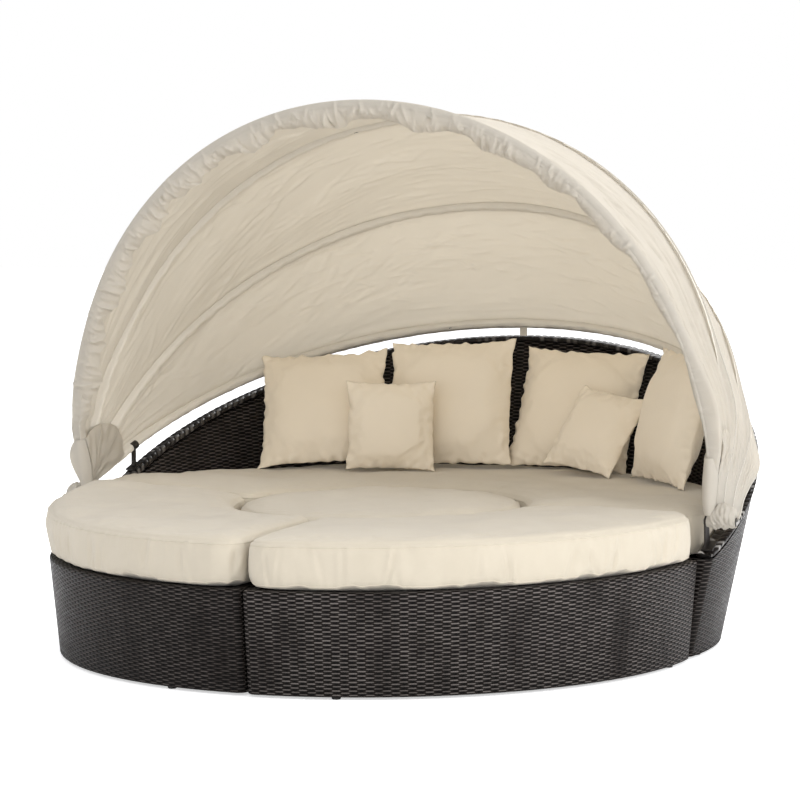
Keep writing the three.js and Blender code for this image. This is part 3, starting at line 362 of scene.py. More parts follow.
def woven_finish(name, painted_highlight_strength=1.0, row=0.00625, period=0.048):
    """Flat strands woven round stakes. Rows of one strand's height are shifted by half a period
    from each other, and a strand shows where its cosine along the row is up. Its crown carries a
    painted highlight, a light dash scaled by a strength per material; broad streaks of noise leave
    some of these painted highlights out. The gaps between rows and the stretches under the stakes
    get painted shade, near black where the strand's height is low."""
    f = Finish(name)
    along, up, _ = f.own_uv()
    line = up / row
    number = line.floor()
    wobble = number.chance()
    turns = along / period + number * 0.5 + wobble * 0.06
    cell = (turns + 0.5).floor() + number * 37.7
    over = turns.wave() ** 0.6
    strand = 1.0 - ((line.part() * 2.0 - 1.0).size() ** 2.6)
    height = strand * (over * 0.85 + 0.15)
    tone = cell.chance()
    place = f.join(along, up)
    grain = f.noise(place, 900.0, 2.0)
    patch = f.noise(place, 7.0, 2.0)
    # Painted highlight: broad streaks of noise choose where the strand crowns carry their light dash.
    highlight_streak = f.noise(f.join(along, up * 0.35), 5.5, 2.0).between(0.30, 0.52)
    # Painted shade: near black where the strand's height is low, in the gaps between rows and where a
    # strand passes under a stake.
    gap_shade = f.blend(patch, (0.002, 0.0015, 0.0012), (0.004, 0.003, 0.0025))
    light = f.blend(tone, (0.011, 0.008, 0.0065), (0.030, 0.0235, 0.0200))
    # Painted highlight: a light colour on each strand's crown, scaled by the streaks, the strand's random
    # tone and the material's highlight strength.
    crown = turns.wave().between(0.42, 0.66) * strand.between(0.35, 0.75)
    painted_highlight = (0.22 + highlight_streak * (0.32 + tone * 0.46)) * painted_highlight_strength
    colour = f.blend(crown * painted_highlight, f.blend(height.between(0.2, 0.7), gap_shade, light), (0.160, 0.142, 0.132))
    shader = f.surface(
        Base_Color=colour,
        Roughness=0.26 + tone * 0.14 + grain * 0.08,
        Normal=f.bump(height, 0.0034, 1.0),
        Specular_IOR_Level=0.12,
    )
    return f.done(shader)


def braid_finish(name):
    """Two columns of slanting strands that meet in a V along the middle of the rim. Their crowns
    carry a painted highlight, stronger towards the right end, which the side light grazes. The gaps
    between strands and the groove in the middle get painted shade, near black."""
    f = Finish(name)
    along, across, _ = f.own_uv()
    turns, edge = braid_turns(along, across)
    tone = (turns.floor() + across.apply("SIGN") * 51.3).chance()
    strand = (1.0 - ((turns.part() * 2.0 - 1.0).size() ** 3.0)) * edge
    place = f.join(along, across)
    grain = f.noise(place, 700.0, 2.0)
    patch = f.noise(place, 9.0, 2.0)
    top = f.blend(tone, (0.012, 0.0095, 0.008), (0.034, 0.027, 0.023))
    # Painted shade: near black between the strands and in the middle groove.
    body = f.blend(strand.between(0.05, 0.7), (0.004, 0.003, 0.0025), top)
    x, _, _ = f.split(f.object_place())
    # Painted highlight, stronger towards the right end, where the side light grazes the rim.
    right_end_highlight = 0.25 + x.between(0.45, 0.85) * 0.75
    crown = strand.between(0.80, 0.97) * tone.between(0.3, 0.9)
    colour = f.blend(crown * right_end_highlight, body, (0.38, 0.37, 0.35))
    shader = f.surface(
        Base_Color=colour,
        Roughness=0.34 + patch * 0.12,
        Normal=f.bump(strand * 0.8 + grain * 0.1, 0.0015, 0.7),
        Specular_IOR_Level=0.25,
    )
    return f.done(shader)


def braid_turns(along, across):
    """Place within the V pattern: turns along the rim, held back in proportion to the distance
    from its middle, and how far a place is from the groove in the middle."""
    side = across.apply("SIGN")
    turns = (along - across.size() * BRAID_LEAN) / BRAID_PITCH + side * 0.25
    edge = (across.size() / 0.0016).between(0.0, 1.0)
    return turns, edge


def cloth_finish(name, light, deep, thread, rough=0.88, sheen=0.25, fine=0.0011, soft=0.0004):
    """Plain woven cloth: threads over and under on the piece's own map, with slubs and soft
    blotches of tone."""
    f = Finish(name)
    along, up, _ = f.own_uv()
    place = f.join(along, up)
    warp = (along / fine).wave()
    weft = (up / fine).wave()
    turns = (along / fine + 0.5).floor() + (up / fine + 0.5).floor()
    over = (turns * 0.5).part() * 2.0
    weave = warp * over + weft * (1.0 - over)
    slub = f.noise(f.join(along * 0.25, up * 3.0), thread, 2.0)
    blotch = f.noise(place, 9.0, 3.0, 0.55)
    colour = f.blend((blotch - 0.5) * 0.8 + weave * 0.18 + slub * 0.35 + 0.2, deep, light)
    lumps = f.noise(place, 60.0, 3.0)
    height = weave * 0.5 + slub * 0.6
    normal = f.bump(height, soft, 0.6, f.bump(lumps, 0.0012, 0.35))
    shader = f.surface(
        Base_Color=colour, Roughness=rough, Normal=normal, Sheen_Weight=sheen, Specular_IOR_Level=0.25
    )
    return f, shader


def cushion_finish(name, light, deep):
    f, shader = cloth_finish(name, light, deep, 260.0)
    return f.done(shader)


def canopy_finish(name, light, deep, passes=0.50):
    """Thin cloth that scatters light and lets a share of it through."""
    f, shader = cloth_finish(name, light, deep, 300.0, 0.92, 0.1, 0.0009, 0.0003)
    through = f.node("BsdfTranslucent", (), {"Color": (*light, 1.0)})
    both = f.node("MixShader", (), {0: passes, 1: shader, 2: through})
    return f.done(both)


def coated_finish(name, colour, rough=0.42, metal=0.35):
    """Powder coat: fine orange peel, a little wear and dust in its tone."""
    f = Finish(name)
    place = f.object_place()
    peel = f.noise(place, 420.0, 2.0)
    dust = f.noise(place, 14.0, 4.0)
    tint = f.blend(dust, colour, tuple(c * 1.5 for c in colour))
    shader = f.surface(
        Base_Color=tint,
        Metallic=metal,
        Roughness=rough + (dust - 0.5) * 0.12,
        Normal=f.bump(peel, 0.0006, 0.25),
    )
    return f.done(shader)


def steel_finish(name):
    """Bright steel with fine turning marks around the pin's own axis."""
    f = Finish(name)
    x, y, z = f.split(f.object_place())
    turning = f.noise(f.join(x * 40.0, y, z), 30.0, 3.0)
    shader = f.surface(
        Base_Color=(0.46, 0.45, 0.43),
        Metallic=1.0,
        Roughness=0.24 + turning * 0.16,
        Normal=f.bump(turning, 0.0002, 0.3),
    )
    return f.done(shader)


def plastic_finish(name):
    """Dull black plastic, scuffed near the floor."""
    f = Finish(name)
    place = f.object_place()
    _, _, z = f.split(place)
    scuff = f.noise(place, 160.0, 4.0)
    low = 1.0 - z.between(0.0, 0.012)
    tint = f.blend(scuff * low, (0.012, 0.012, 0.012), (0.06, 0.058, 0.055))
    normal = f.bump(scuff, 0.0003, 0.4)
    return f.done(f.surface(Base_Color=tint, Roughness=0.55 + scuff * 0.25, Normal=normal))


WEAVE = woven_finish("woven wicker")
# The four weaves are one weave whose painted highlights differ in strength: weaker on the back wall and
# base, which the side light grazes, on the left base, which faces away from the key light, and on the
# lining.
BACK_WEAVE = woven_finish("woven back", 0.5)
LEFT_WEAVE = woven_finish("woven left base", 0.5)
LINING_WEAVE = woven_finish("woven lining", 0.62)
BRAID = braid_finish("braided wicker")
CUSHION_CLOTH = cushion_finish("cushion cloth", (0.645, 0.583, 0.472), (0.565, 0.505, 0.400))
# Pillow cloth: the cushions' cloth painted much lighter, painted light that makes up for the shade the
# canopy casts on the pillows.
PILLOW_CLOTH = cushion_finish("pillow cloth", (0.895, 0.797, 0.640), (0.845, 0.748, 0.595))
CANOPY_CLOTH = canopy_finish("canopy cloth", (0.79, 0.75, 0.675), (0.71, 0.67, 0.595))
# Canopy trim: painted light, a lighter cloth than the canopy that stands in for the light the tube inside
# each sleeve keeps from shining through.
TRIM_CLOTH = canopy_finish("canopy trim", (0.82, 0.775, 0.685), (0.75, 0.705, 0.62), 0.04)
PIPING_CLOTH = canopy_finish("canopy piping", (0.60, 0.565, 0.495), (0.52, 0.49, 0.43), 0.04)
TUBE_COAT = coated_finish("bronze tube", (0.022, 0.019, 0.017))
FRAME_COAT = coated_finish("bronze frame", (0.018, 0.016, 0.015), 0.5, 0.2)
PIN_STEEL = steel_finish("pin steel")
GLIDE_PLASTIC = plastic_finish("glide plastic")


# Outlines of the modules


def corner_arc(line_normal, line_place, centre, radius, inside, side, size):
    """Small circle that rounds the corner between a straight side and an arc. The side holds the
    points n.p = c, and the circle's centre q lies at n.q = c + size, at radius - size from the
    arc's centre when it is inside the arc, or radius + size outside. Returns q and its two
    touching points, on the side and on the arc."""
    n = np.asarray(line_normal, float)
    t = np.array([-n[1], n[0]]) * side
    o = np.array([0.0, centre])
    reach = radius - size if inside else radius + size
    off = line_place + size - o @ n
    along = np.sqrt(reach**2 - off**2)
    q = o + off[..., None] * n + along[..., None] * t
    on_side = q - size[..., None] * n
    on_arc = o + (q - o) * (radius / reach)[..., None]
    return q, on_side, on_arc


def turn_about(q, first, last, share):
    """Points of the shorter arc about q from first to last."""
    a = first - q
    b = last - q
    start = np.arctan2(a[..., 1], a[..., 0])
    sweep = np.arctan2(a[..., 0] * b[..., 1] - a[..., 1] * b[..., 0], (a * b).sum(-1))
    angle = start + sweep * share
    size = np.linalg.norm(a, axis=-1)
    return q + size[..., None] * np.stack([np.cos(angle), np.sin(angle)], axis=-1)


class Module:
    """Plan of a module: an outer and an inner arc joined by two straight sides, with rounded
    corners. start and end give each side's inward normal, its place along it, and on which hand
    of the normal the corners lie."""

    def __init__(self, radius, flare, centre, start, end, steps):
        self.radius, self.flare, self.centre = radius, flare, centre
        self.start, self.end = start, end
        self.counts = dict(zip(("corner", "outer", "side", "inner"), steps))

    def outline(self, inset, height):
        """Closed outline at heights that may differ along it: start corner, outer arc, end
        corner, side, inner corner, inner arc, inner corner, side."""
        kinds = ("corner", "outer", "corner", "side", "corner", "inner", "corner", "side")
        parts, place = [], 0
        for number, kind in enumerate(kinds):
            count = self.counts[kind]
            share = np.arange(count) / count
            h = height[..., place : place + count] if np.ndim(height) else np.full(count, float(height))
            i = inset[..., place : place + count] if np.ndim(inset) else np.full(h.shape, float(inset))
            big = self.radius + self.flare * h - i
            arcs = ((self.centre, big, True), (ARC_CENTRE, HOLLOW_RADIUS + i, False))
            outer0, outer1, inner0, inner1 = (
                corner_arc(normal, line + i, centre, radius, inside, hand, np.maximum(CORNER - i, SKIN))
                for centre, radius, inside in arcs
                for normal, line, hand in (self.start, self.end)
            )
            shapes = (
                lambda: turn_about(*outer0, share),
                lambda: self.arc(outer0[2], outer1[2], self.centre, share),
                lambda: turn_about(outer1[0], outer1[2], outer1[1], share),
                lambda: outer1[1] + (inner1[1] - outer1[1]) * share[:, None],
                lambda: turn_about(*inner1, share),
                lambda: self.arc(inner1[2], inner0[2], ARC_CENTRE, share),
                lambda: turn_about(inner0[0], inner0[2], inner0[1], share),
                lambda: inner0[1] + (outer0[1] - inner0[1]) * share[:, None],
            )
            parts.append(shapes[number]())
            place += count
        return np.concatenate(parts, axis=-2)

    @staticmethod
    def arc(first, last, centre, share):
        """Points along an arc about the middle of the bed, the long way round where the two
        ends face the front."""
        o = np.array([0.0, centre])
        a, b = first - o, last - o
        start = np.arctan2(a[..., 1], a[..., 0])
        stop = np.arctan2(b[..., 1], b[..., 0])
        wide = np.abs(a[..., 0] - b[..., 0]) > np.abs(a[..., 0]) * 1.5
        start = np.where(wide & (a[..., 0] < 0), start + np.where(start < 0, 2 * np.pi, 0), start)
        stop = np.where(wide & (b[..., 0] < 0), stop + np.where(stop < 0, 2 * np.pi, 0), stop)
        angle = start + (stop - start) * share
        near, far = np.linalg.norm(a, axis=-1), np.linalg.norm(b, axis=-1)
        size = near + (far - near) * share
        return o + size[..., None] * np.stack([np.cos(angle), np.sin(angle)], axis=-1)


FRONT_SIDE, BACK_SIDE = ((1, 0), GAP, -1), ((0, 1), SPLIT + GAP, -1)
QUARTER = Module(
    OTTOMAN_RADIUS, OTTOMAN_FLARE, ARC_CENTRE, FRONT_SIDE, ((0, -1), GAP - SPLIT, 1), (8, 120, 26, 48)
)
BACK = Module(
    BACK_RADIUS, BACK_FLARE, 0.0, BACK_SIDE, ((0, 1), SPLIT + GAP, 1), (8, 260, 26, 110)
)


def skin_section(bottom_round=0.003, edge_round=0.010):
    """Section of a woven skin as (inset, height): up the wall, round the top edge, in over the
    border, and back down inside."""
    angle = np.linspace(0, np.pi / 2, 6)
    edge = np.stack(
        [edge_round * (1 - np.cos(angle)), BASE_TOP - edge_round * (1 - np.sin(angle))], axis=1
    )
    wall = np.linspace(SKIN_BOTTOM + bottom_round, BASE_TOP - edge_round, 7)[:-1]
    outside = np.stack([np.zeros(6), wall], axis=1)
    border = [[0.020, BASE_TOP], [0.032, BASE_TOP], [FLANGE - 0.003, BASE_TOP], [FLANGE, BASE_TOP - 0.003]]
    inside = [
        [FLANGE, BASE_TOP - SKIN],
        [0.025, BASE_TOP - SKIN],
        [SKIN, BASE_TOP - SKIN],
        [SKIN, 0.150],
        [SKIN, SKIN_BOTTOM],
        [bottom_round, SKIN_BOTTOM],
    ]
    return np.concatenate([outside, edge, border, inside])


def swept_skin(name, outline, material, move=(0, 0, 0), mirror=False):
    """Woven skin: the section carried round a closed outline, whose own map runs along the
    outline at mid height and up the section."""
    section = skin_section()
    rings = np.stack([lift(outline(inset, height), height) for inset, height in section])
    middle = lift(outline(0.0, BASE_TOP / 2), 0.0)
    run = lengths(middle, closed=True)
    climb = lengths(np.concatenate([section, section[:1]]))
    s, t = np.meshgrid(run, climb)
    rings = rings + np.asarray(move)
    if mirror:
        rings = rings * [-1, 1, 1]
    rows, columns = rings.shape[:2]
    return piece(
        name, rings, quads(rows, columns, True, True), corner_uv(s, t, rows, columns, True, True), material
    )


def lift(plan, height):
    """Points of a plan raised to a height."""
    return np.concatenate([plan, np.broadcast_to(height, plan.shape[:-1])[..., None]], axis=-1)


def circle(radius, steps=200):
    angle = 2 * np.pi * np.arange(steps) / steps
    return np.stack([radius * np.cos(angle), ARC_CENTRE + radius * np.sin(angle)], axis=1)


def replace(made, body, *nodes):
    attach(made, body)
    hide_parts(*nodes)
    return made


def make_bases():
    right = swept_skin("right_ottoman_weave", QUARTER.outline, WEAVE, RIGHT_FORWARD)
    left = swept_skin("left_ottoman_weave", QUARTER.outline, LEFT_WEAVE, mirror=True)
    middle = swept_skin("middle_ottoman_weave", lambda inset, _: circle(ROUND_RADIUS - inset), WEAVE)
    replace(right, "right_ottoman", "right_ottoman_wicker")
    replace(left, "left_ottoman", "left_ottoman_wicker")
    replace(middle, "middle_ottoman", "middle_ottoman_wicker")


# The backrest


def wall_top(share):
    """Height of the rim along the sweep: low + rise * sin(pi s)^1.08."""
    sweep = np.maximum(np.sin(np.pi * np.clip(share, 0, 1)), 0) ** 1.08
    return RIM_LOW + (RIM_HIGH - RIM_LOW) * sweep


def skin_top(share):
    return wall_top(share) - RIM_TALL - RIM_GAP


def wall_point(share, inset, height):
    """Point of the cone-shaped wall: radius + flare * height - inset, at an angle that runs
    evenly from one front end to the other."""
    radius = BACK_RADIUS + BACK_FLARE * height - inset
    low = np.arcsin((SPLIT + GAP) / radius)
    angle = low + (np.pi - 2 * low) * share
    return np.stack([radius * np.cos(angle), radius * np.sin(angle), height + 0 * angle], axis=-1)


def make_wall():
    """Outer wall: a closed strip between the outer face and a face one skin's thickness inside
    it, from the floor edge up to the rim, turned in round both front corners."""
    corner, outer = BACK.counts["corner"], BACK.counts["outer"]
    total = 4 * corner + outer + 2 * BACK.counts["side"] + BACK.counts["inner"]
    rows = 24
    climb = np.linspace(0, 1, rows)[:, None]
    reach = np.arange(-4, 2 * corner + outer + 5)
    shares = np.clip((reach - corner) / outer, 0, 1)
    heights = SKIN_BOTTOM + (skin_top(shares)[None, :] - SKIN_BOTTOM) * climb
    full = np.zeros((rows, total))
    full[:, reach % total] = heights
    full[:, full[0] == 0] = 0.1
    outer_face = lift(BACK.outline(0.0, full), full)[:, reach % total]
    inner_face = lift(BACK.outline(SKIN, full), full)[:, reach % total]
    base = lift(BACK.outline(0.0, 0.0), 0.0)[reach % total]
    run = lengths(base)
    s, t = np.broadcast_to(run, heights.shape), heights / math.cos(math.atan(BACK_FLARE))
    wall = sheet_solid("back_wall_weave", outer_face, inner_face, s, t, BACK_WEAVE)
    return replace(wall, "back_sofa", "back_outer_wicker")


def make_lining():
    """Lining of the backrest: a closed strip over the inside of the wall."""
    shares = np.linspace(0.018, 0.982, 260)
    climb = np.linspace(0, 1, 18)[:, None]
    heights = SEAT + (skin_top(shares)[None, :] - SEAT) * climb
    inner = wall_point(shares[None, :], WALL, heights)
    outer = wall_point(shares[None, :], WALL - SKIN, heights)
    run = lengths(wall_point(shares, WALL, SEAT + 0 * shares))
    s, t = np.broadcast_to(run, heights.shape), heights / math.cos(math.atan(BACK_FLARE))
    lining = sheet_solid("back_lining_weave", inner, outer, s, t, LINING_WEAVE)
    return replace(lining, "back_sofa", "back_lining_wicker")


def make_back_base():
    """Front faces of the back sofa and the wall round the middle ottoman, as one open strip of
    the module's outline, closed at its two ends."""
    corner, outer = BACK.counts["corner"], BACK.counts["outer"]
    section = skin_section()
    total = len(BACK.outline(0.0, 0.1))
    first = 2 * corner + outer + 4
    last = total - 4
    rings = np.stack([lift(BACK.outline(i, h), h) for i, h in section])[:, first : last + 1]
    run = lengths(lift(BACK.outline(0.0, 0.15), 0.15))[first : last + 1]
    climb = lengths(np.concatenate([section, section[:1]]))
    s, t = np.meshgrid(run, climb)
    rows, columns = rings.shape[:2]
    numbers = np.arange(rows * columns).reshape(rows, columns)
    caps = cap_quads(numbers[:, 0], numbers[:, -1])
    ends = rings.reshape(-1, 3)[caps]
    cap_uv = np.stack([ends[..., 0] + ends[..., 1], ends[..., 2]], axis=-1)
    faces = np.concatenate([quads(rows, columns, True, False), caps])
    uv = np.concatenate([corner_uv(s, t, rows, columns, True, False), cap_uv])
    return replace(piece("back_base_weave", rings, faces, uv, BACK_WEAVE), "back_sofa", "back_base_wicker")


def make_rim(steps=1500, around=44):
    """Braided rim: a rounded section, |x|^4 + |y|^4 = 1, carried along the top of the wall. Its
    upper half stands out by the V pattern of the braid."""
    share = np.linspace(0, 1, steps)
    half, tall = WALL / 2 + 0.003, RIM_TALL / 2
    angle = 2 * np.pi * np.arange(around) / around
    across = np.sign(np.cos(angle)) * np.abs(np.cos(angle)) ** 0.5
    rise = np.sign(np.sin(angle)) * np.abs(np.sin(angle)) ** 0.5
    base = wall_top(share) - tall
    run = lengths(wall_point(share, WALL / 2, base))
    taper = np.minimum(ease(run, 0, 0.012), ease(run[-1] - run, 0, 0.012)) * 0.35 + 0.65
    w = across[:, None] * half
    height = base[None, :] + rise[:, None] * tall * taper
    surface = wall_point(share[None, :], WALL / 2 - w * (taper * 0.3 + 0.7), height)
    turns = (run[None, :] - np.abs(w) * BRAID_LEAN) / BRAID_PITCH + np.sign(w) * 0.25
    strand = 1 - np.abs(2 * (turns % 1) - 1) ** 3
    groove = np.clip(np.abs(w) / 0.003, 0, 1)
    upper = np.clip(rise[:, None] * 2 + 1, 0, 1)
    surface[..., 2] += (strand * groove - 1) * 0.0035 * upper
    s = np.broadcast_to(run, (around + 1, steps))
    # the map's second place is the distance from the middle of the rim
    t = np.concatenate([w, w[:1]]) + np.zeros((around + 1, steps))
    numbers = np.arange(around * steps).reshape(around, steps)
    caps = cap_quads(numbers[:, 0], numbers[:, -1])
    faces = np.concatenate([quads(around, steps, True, False), caps])
    uv = np.concatenate([corner_uv(s, t, around, steps, True, False), np.zeros((len(caps), 4, 2))])
    return replace(piece("back_rim_braid", surface, faces, uv, BRAID), "back_sofa", "back_rim")


# Seat cushions


def rounded_patch(across, depth, width, length, corner):
    """Shares (u, v) of a patch moved so that its four corners are round: inside a corner zone
    of depth d each share is held back by d * zone * (1 - sqrt(1 - e^2 / 2)), where e is the
    other share's depth into its own zone."""
    zone_u, zone_v = 1.6 * corner / length, corner / width

    def depth_of(share, zone):
        low, high = 1 - share / zone, 1 - (1 - share) / zone
        return np.where(low > 0, low, np.where(high > 0, high, 0)), np.where(low > 0, -1, 1)

    du, side_u = depth_of(across, zone_u)
    dv, side_v = depth_of(depth, zone_v)
    both = (du > 0) & (dv > 0)
    u = across - np.where(both, side_u * zone_u * du * (1 - np.sqrt(1 - dv**2 / 2)), 0)
    v = depth - np.where(both, side_v * zone_v * dv * (1 - np.sqrt(1 - du**2 / 2)), 0)
    return u, v


def sector(outer_radius, outer_centre, inner_radius, side_start, side_end):
    """Plan of a cushion between two arcs. Each side is ("x", place) or ("y", place)."""

    def angles(radius, centre):
        found = []
        for number, (axis, place) in enumerate((side_start, side_end)):
            if axis == "x":
                found.append(-math.acos(place / radius))
            else:
                angle = math.asin((place - centre) / radius)
                found.append(math.pi - angle if number and side_start[0] == "y" else angle)
        return found

    def place(u, v, inset=0.0):
        big, small = outer_radius - inset, inner_radius + inset
        a0, a1 = angles(big, outer_centre)
        b0, b1 = angles(small, ARC_CENTRE)
        trim_a, trim_b = inset / big, inset / small
        a = a0 + trim_a + (a1 - a0 - 2 * trim_a) * u
        b = b0 + trim_b + (b1 - b0 - 2 * trim_b) * u
        far = np.stack([big * np.cos(a), outer_centre + big * np.sin(a)], axis=-1)
        near = np.stack([small * np.cos(b), ARC_CENTRE + small * np.sin(b)], axis=-1)
        return near + (far - near) * v[..., None]

    first, last = angles(outer_radius, outer_centre)
    return place, outer_radius - inner_radius, outer_radius * abs(last - first)


# Side band of a cushion as (height, distance out): top edge, seam, welt, band, welt, seam, bottom
BAND = np.array(
    [
        [0.1320, -0.0100], [0.1303, -0.0066], [0.1283, -0.0042], [0.1268, -0.0034], [0.1256, -0.0012],
        [0.1240, -0.0008], [0.1228, -0.0022], [0.1215, -0.0016], [0.1160, 0.0008], [0.1040, 0.0032],
        [0.0860, 0.0048], [0.0660, 0.0052], [0.0460, 0.0048], [0.0280, 0.0032], [0.0160, 0.0008],
        [0.0105, -0.0016], [0.0092, -0.0022], [0.0080, -0.0008], [0.0064, -0.0012], [0.0052, -0.0034],
        [0.0036, -0.0046], [0.0012, -0.0074], [0.0000, -0.0100],
    ]
)  # fmt: skip


def cushion_plan(place, width, length, cells):
    """Grids of a cushion's top and underside, the crown's height and the distance from the edge:
    a disc (p sqrt(1 - q^2/2), q sqrt(1 - p^2/2)) where there is no plan, or else the plan with
    round corners. The crown is C sqrt(1 - s^3), or C sqrt((1 - |2u-1|^20)(1 - |2v-1|^4))."""
    x, y = (np.linspace(0, 1, count + 1) for count in cells)
    u1 = x + 0.55 * (0.5 - 0.5 * np.cos(np.pi * x) - x)
    v1 = y + 0.75 * (0.5 - 0.5 * np.cos(np.pi * y) - y)
    u, v = np.meshgrid(u1, v1, indexing="ij")
    if place is None:
        p, q = 2 * u - 1, 2 * v - 1
        disc = np.stack([p * np.sqrt(1 - q * q / 2), q * np.sqrt(1 - p * p / 2)], axis=-1)
        middle = np.array([0.0, ARC_CENTRE])
        flat, under = disc * (width - TOP_INSET) + middle, disc * (width - UNDER) + middle
        share = np.linalg.norm(flat - middle, axis=-1) / (width - TOP_INSET)
        return flat, under, CROWN * np.sqrt(np.clip(1 - share**3, 0, 1)), (1 - share) * width
    su, sv = rounded_patch(u, v, width, length, 0.055)
    crown = CROWN * np.sqrt((1 - np.abs(2 * u - 1) ** 20) * (1 - np.abs(2 * v - 1) ** 4))
    edge = np.minimum(np.minimum(u, 1 - u) * length, np.minimum(v, 1 - v) * width)
    return place(su, sv, TOP_INSET), place(su, sv, UNDER), crown, edge


def seat_cushion(name, place, width, length, cells, seed, move=(0, 0, 0), mirror=False, plump=None):
    """Boxed cushion on a grid of shares (u, v). The crowned top is gently uneven and drawn into
    small puckers at its seam; the side band swells and creases between two welted seams, of which
    the lower one lifts a little here and there; the underside is flat and drawn in."""
    rows, columns = cells
    flat, under, crown, edge = cushion_plan(place, width, length, cells)
    ring = boundary(rows + 1, columns + 1)
    line = flat.reshape(-1, 2)[ring]
    run = lengths(line, closed=True)
    ahead = np.roll(line, -1, axis=0) - np.roll(line, 1, axis=0)
    out = unit(np.stack([ahead[:, 1], -ahead[:, 0]], axis=1))
    if ((line - line.mean(axis=0)) * out).sum() < 0:
        out = -out
    # small puckers run in from the seam, and the filling lies a little unevenly
    around = np.stack([run[:-1], 0 * run[:-1]], axis=1)
    pucker = ripple(around, 0.030, seed + 1) * 0.0009 + ripple(around, 0.075, seed + 2) * 0.0011
    uneven = ripple(flat, 0.34, seed + 3) * 0.0026 + ripple(flat, 0.13, seed + 4) * 0.0011
    draws = np.exp(-(((edge - 0.030) / 0.022) ** 2)) * (ripple(flat, 0.038, seed + 5) * 0.0012)
    push = (lambda at: plumper(at, plump)) if plump else (lambda at: 0 * at[..., 0])
    top = lift(flat, SEAT + CUSHION + crown + push(flat) + (uneven + draws) * ease(edge, 0.0, 0.05))
    bottom = lift(under, SEAT + 0 * crown)
    level = BAND[1:-1]
    swell = ripple(around, 0.22, seed + 6) * 0.0016
    between = np.sin(np.pi * level[:, 0] / CUSHION)[:, None]
    spread = np.stack(np.broadcast_arrays(run[None, :-1], level[:, :1] * 0.4), axis=-1)
    slant = ripple(spread, 0.085, seed + 7)
    extra = between * swell[None, :] + between**2 * slant * 0.0011 + (1 - between) * pucker[None, :]
    extra = extra + between**0.7 * band_creases(run[:-1], level[:, 0], seed + 8)
    if plump:
        beyond = plumper(line, (plump[0] * 1.09, plump[1] - 0.48), 0.36, 0.015)
        extra = extra + beyond[None, :] * ease(level[:, :1], 0.02, 0.11)
    far = level[:, 1, None] + TOP_INSET + extra
    band = line[None] + out[None] * far[..., None]
    lifted = np.clip(ripple(around, 0.15, seed + 9) + 0.4 * ripple(around, 0.05, seed + 10) + 0.5, 0, 2)
    rise = (0.0065 + 0.0048 * lifted[None, :]) * np.clip(1 - level[:, :1] / 0.060, 0, 1)
    pushed = push(line)[None, :] * ease(level[:, :1], 0.02, CUSHION)
    sides = lift(band, SEAT + level[:, 0, None] + rise + pushed + 0 * far)
    sheets = [top.reshape(-1, 3), sides.reshape(-1, 3), bottom.reshape(-1, 3)]
    places = (np.concatenate(sheets) + np.asarray(move)) * ([-1, 1, 1] if mirror else [1, 1, 1])
    count, corners = top.shape[0] * top.shape[1], len(ring)
    last = count + len(level) * corners
    loops = [count + k * corners + np.arange(corners) for k in range(len(level))]
    loops = np.stack([ring, *loops, last + ring])
    a, b = loops[:-1], loops[1:]
    side_faces = np.stack([a, np.roll(a, -1, 1), np.roll(b, -1, 1), b], axis=-1).reshape(-1, 4)
    s, t = np.meshgrid(run, lengths(BAND))
    side_uv = corner_uv(s, t, len(loops), corners, False, True)
    # the three parts are wound the same way round, seen from outside
    if signed_area(line) >= 0:
        side_faces, side_uv = side_faces[:, ::-1], side_uv[:, ::-1]
    top_faces = quads(rows + 1, columns + 1)
    if not grid_faces_up(flat):
        top_faces = top_faces[:, ::-1]
    top_uv = flat.reshape(-1, 2)[top_faces]
    faces = np.concatenate([top_faces, side_faces, (top_faces + last)[:, ::-1]])
    return piece(name, places, faces, np.concatenate([top_uv, side_uv, top_uv[:, ::-1]]), CUSHION_CLOTH)


def plumper(at, middle, reach=0.40, height=0.033):
    """Extra height where the filling is pushed together: h exp(-(d/r)^2) about a place."""
    return height * np.exp(-((np.linalg.norm(at - middle, axis=-1) / reach) ** 2))


def band_creases(run, level, seed, each=0.05):
    """Sharp creases down a cushion's side: for each one, which leans a little and keeps to its own
    run of heights, a narrow dip exp(-(d/w)^2) with a ridge beside it."""
    rng = np.random.default_rng(seed)
    count = int(run[-1] / each)
    start = rng.uniform(0, run[-1], count)
    lean = rng.normal(0, 0.22, count)
    wide = rng.uniform(0.005, 0.009, count)
    deep = rng.uniform(0.0012, 0.0078, count) * (rng.random(count) < 0.75)
    middle = rng.uniform(0.02, 0.11, count)
    tall = rng.uniform(0.03, 0.09, count)
    away = (run[None, :, None] - start - lean * (level[:, None, None] - 0.066)) / wide
    held = np.exp(-(((level[:, None, None] - middle) / tall) ** 2))
    dip = -np.exp(-(away**2)) + 0.6 * np.exp(-((away - 2.0) ** 2))
    return (dip * deep * held).sum(axis=-1)


def signed_area(line):
    after = np.roll(line, -1, axis=0)
    return (line[:, 0] * after[:, 1] - line[:, 1] * after[:, 0]).sum() / 2


def grid_faces_up(flat):
    """Whether a face of a flat grid, taken along its second share and then its first, faces up."""
    mid = flat.shape[0] // 2, flat.shape[1] // 2
    a, b, c = flat[mid], flat[mid[0], mid[1] + 1], flat[mid[0] + 1, mid[1]]
    p, q = b - a, c - a
    return p[0] * q[1] - p[1] * q[0] > 0


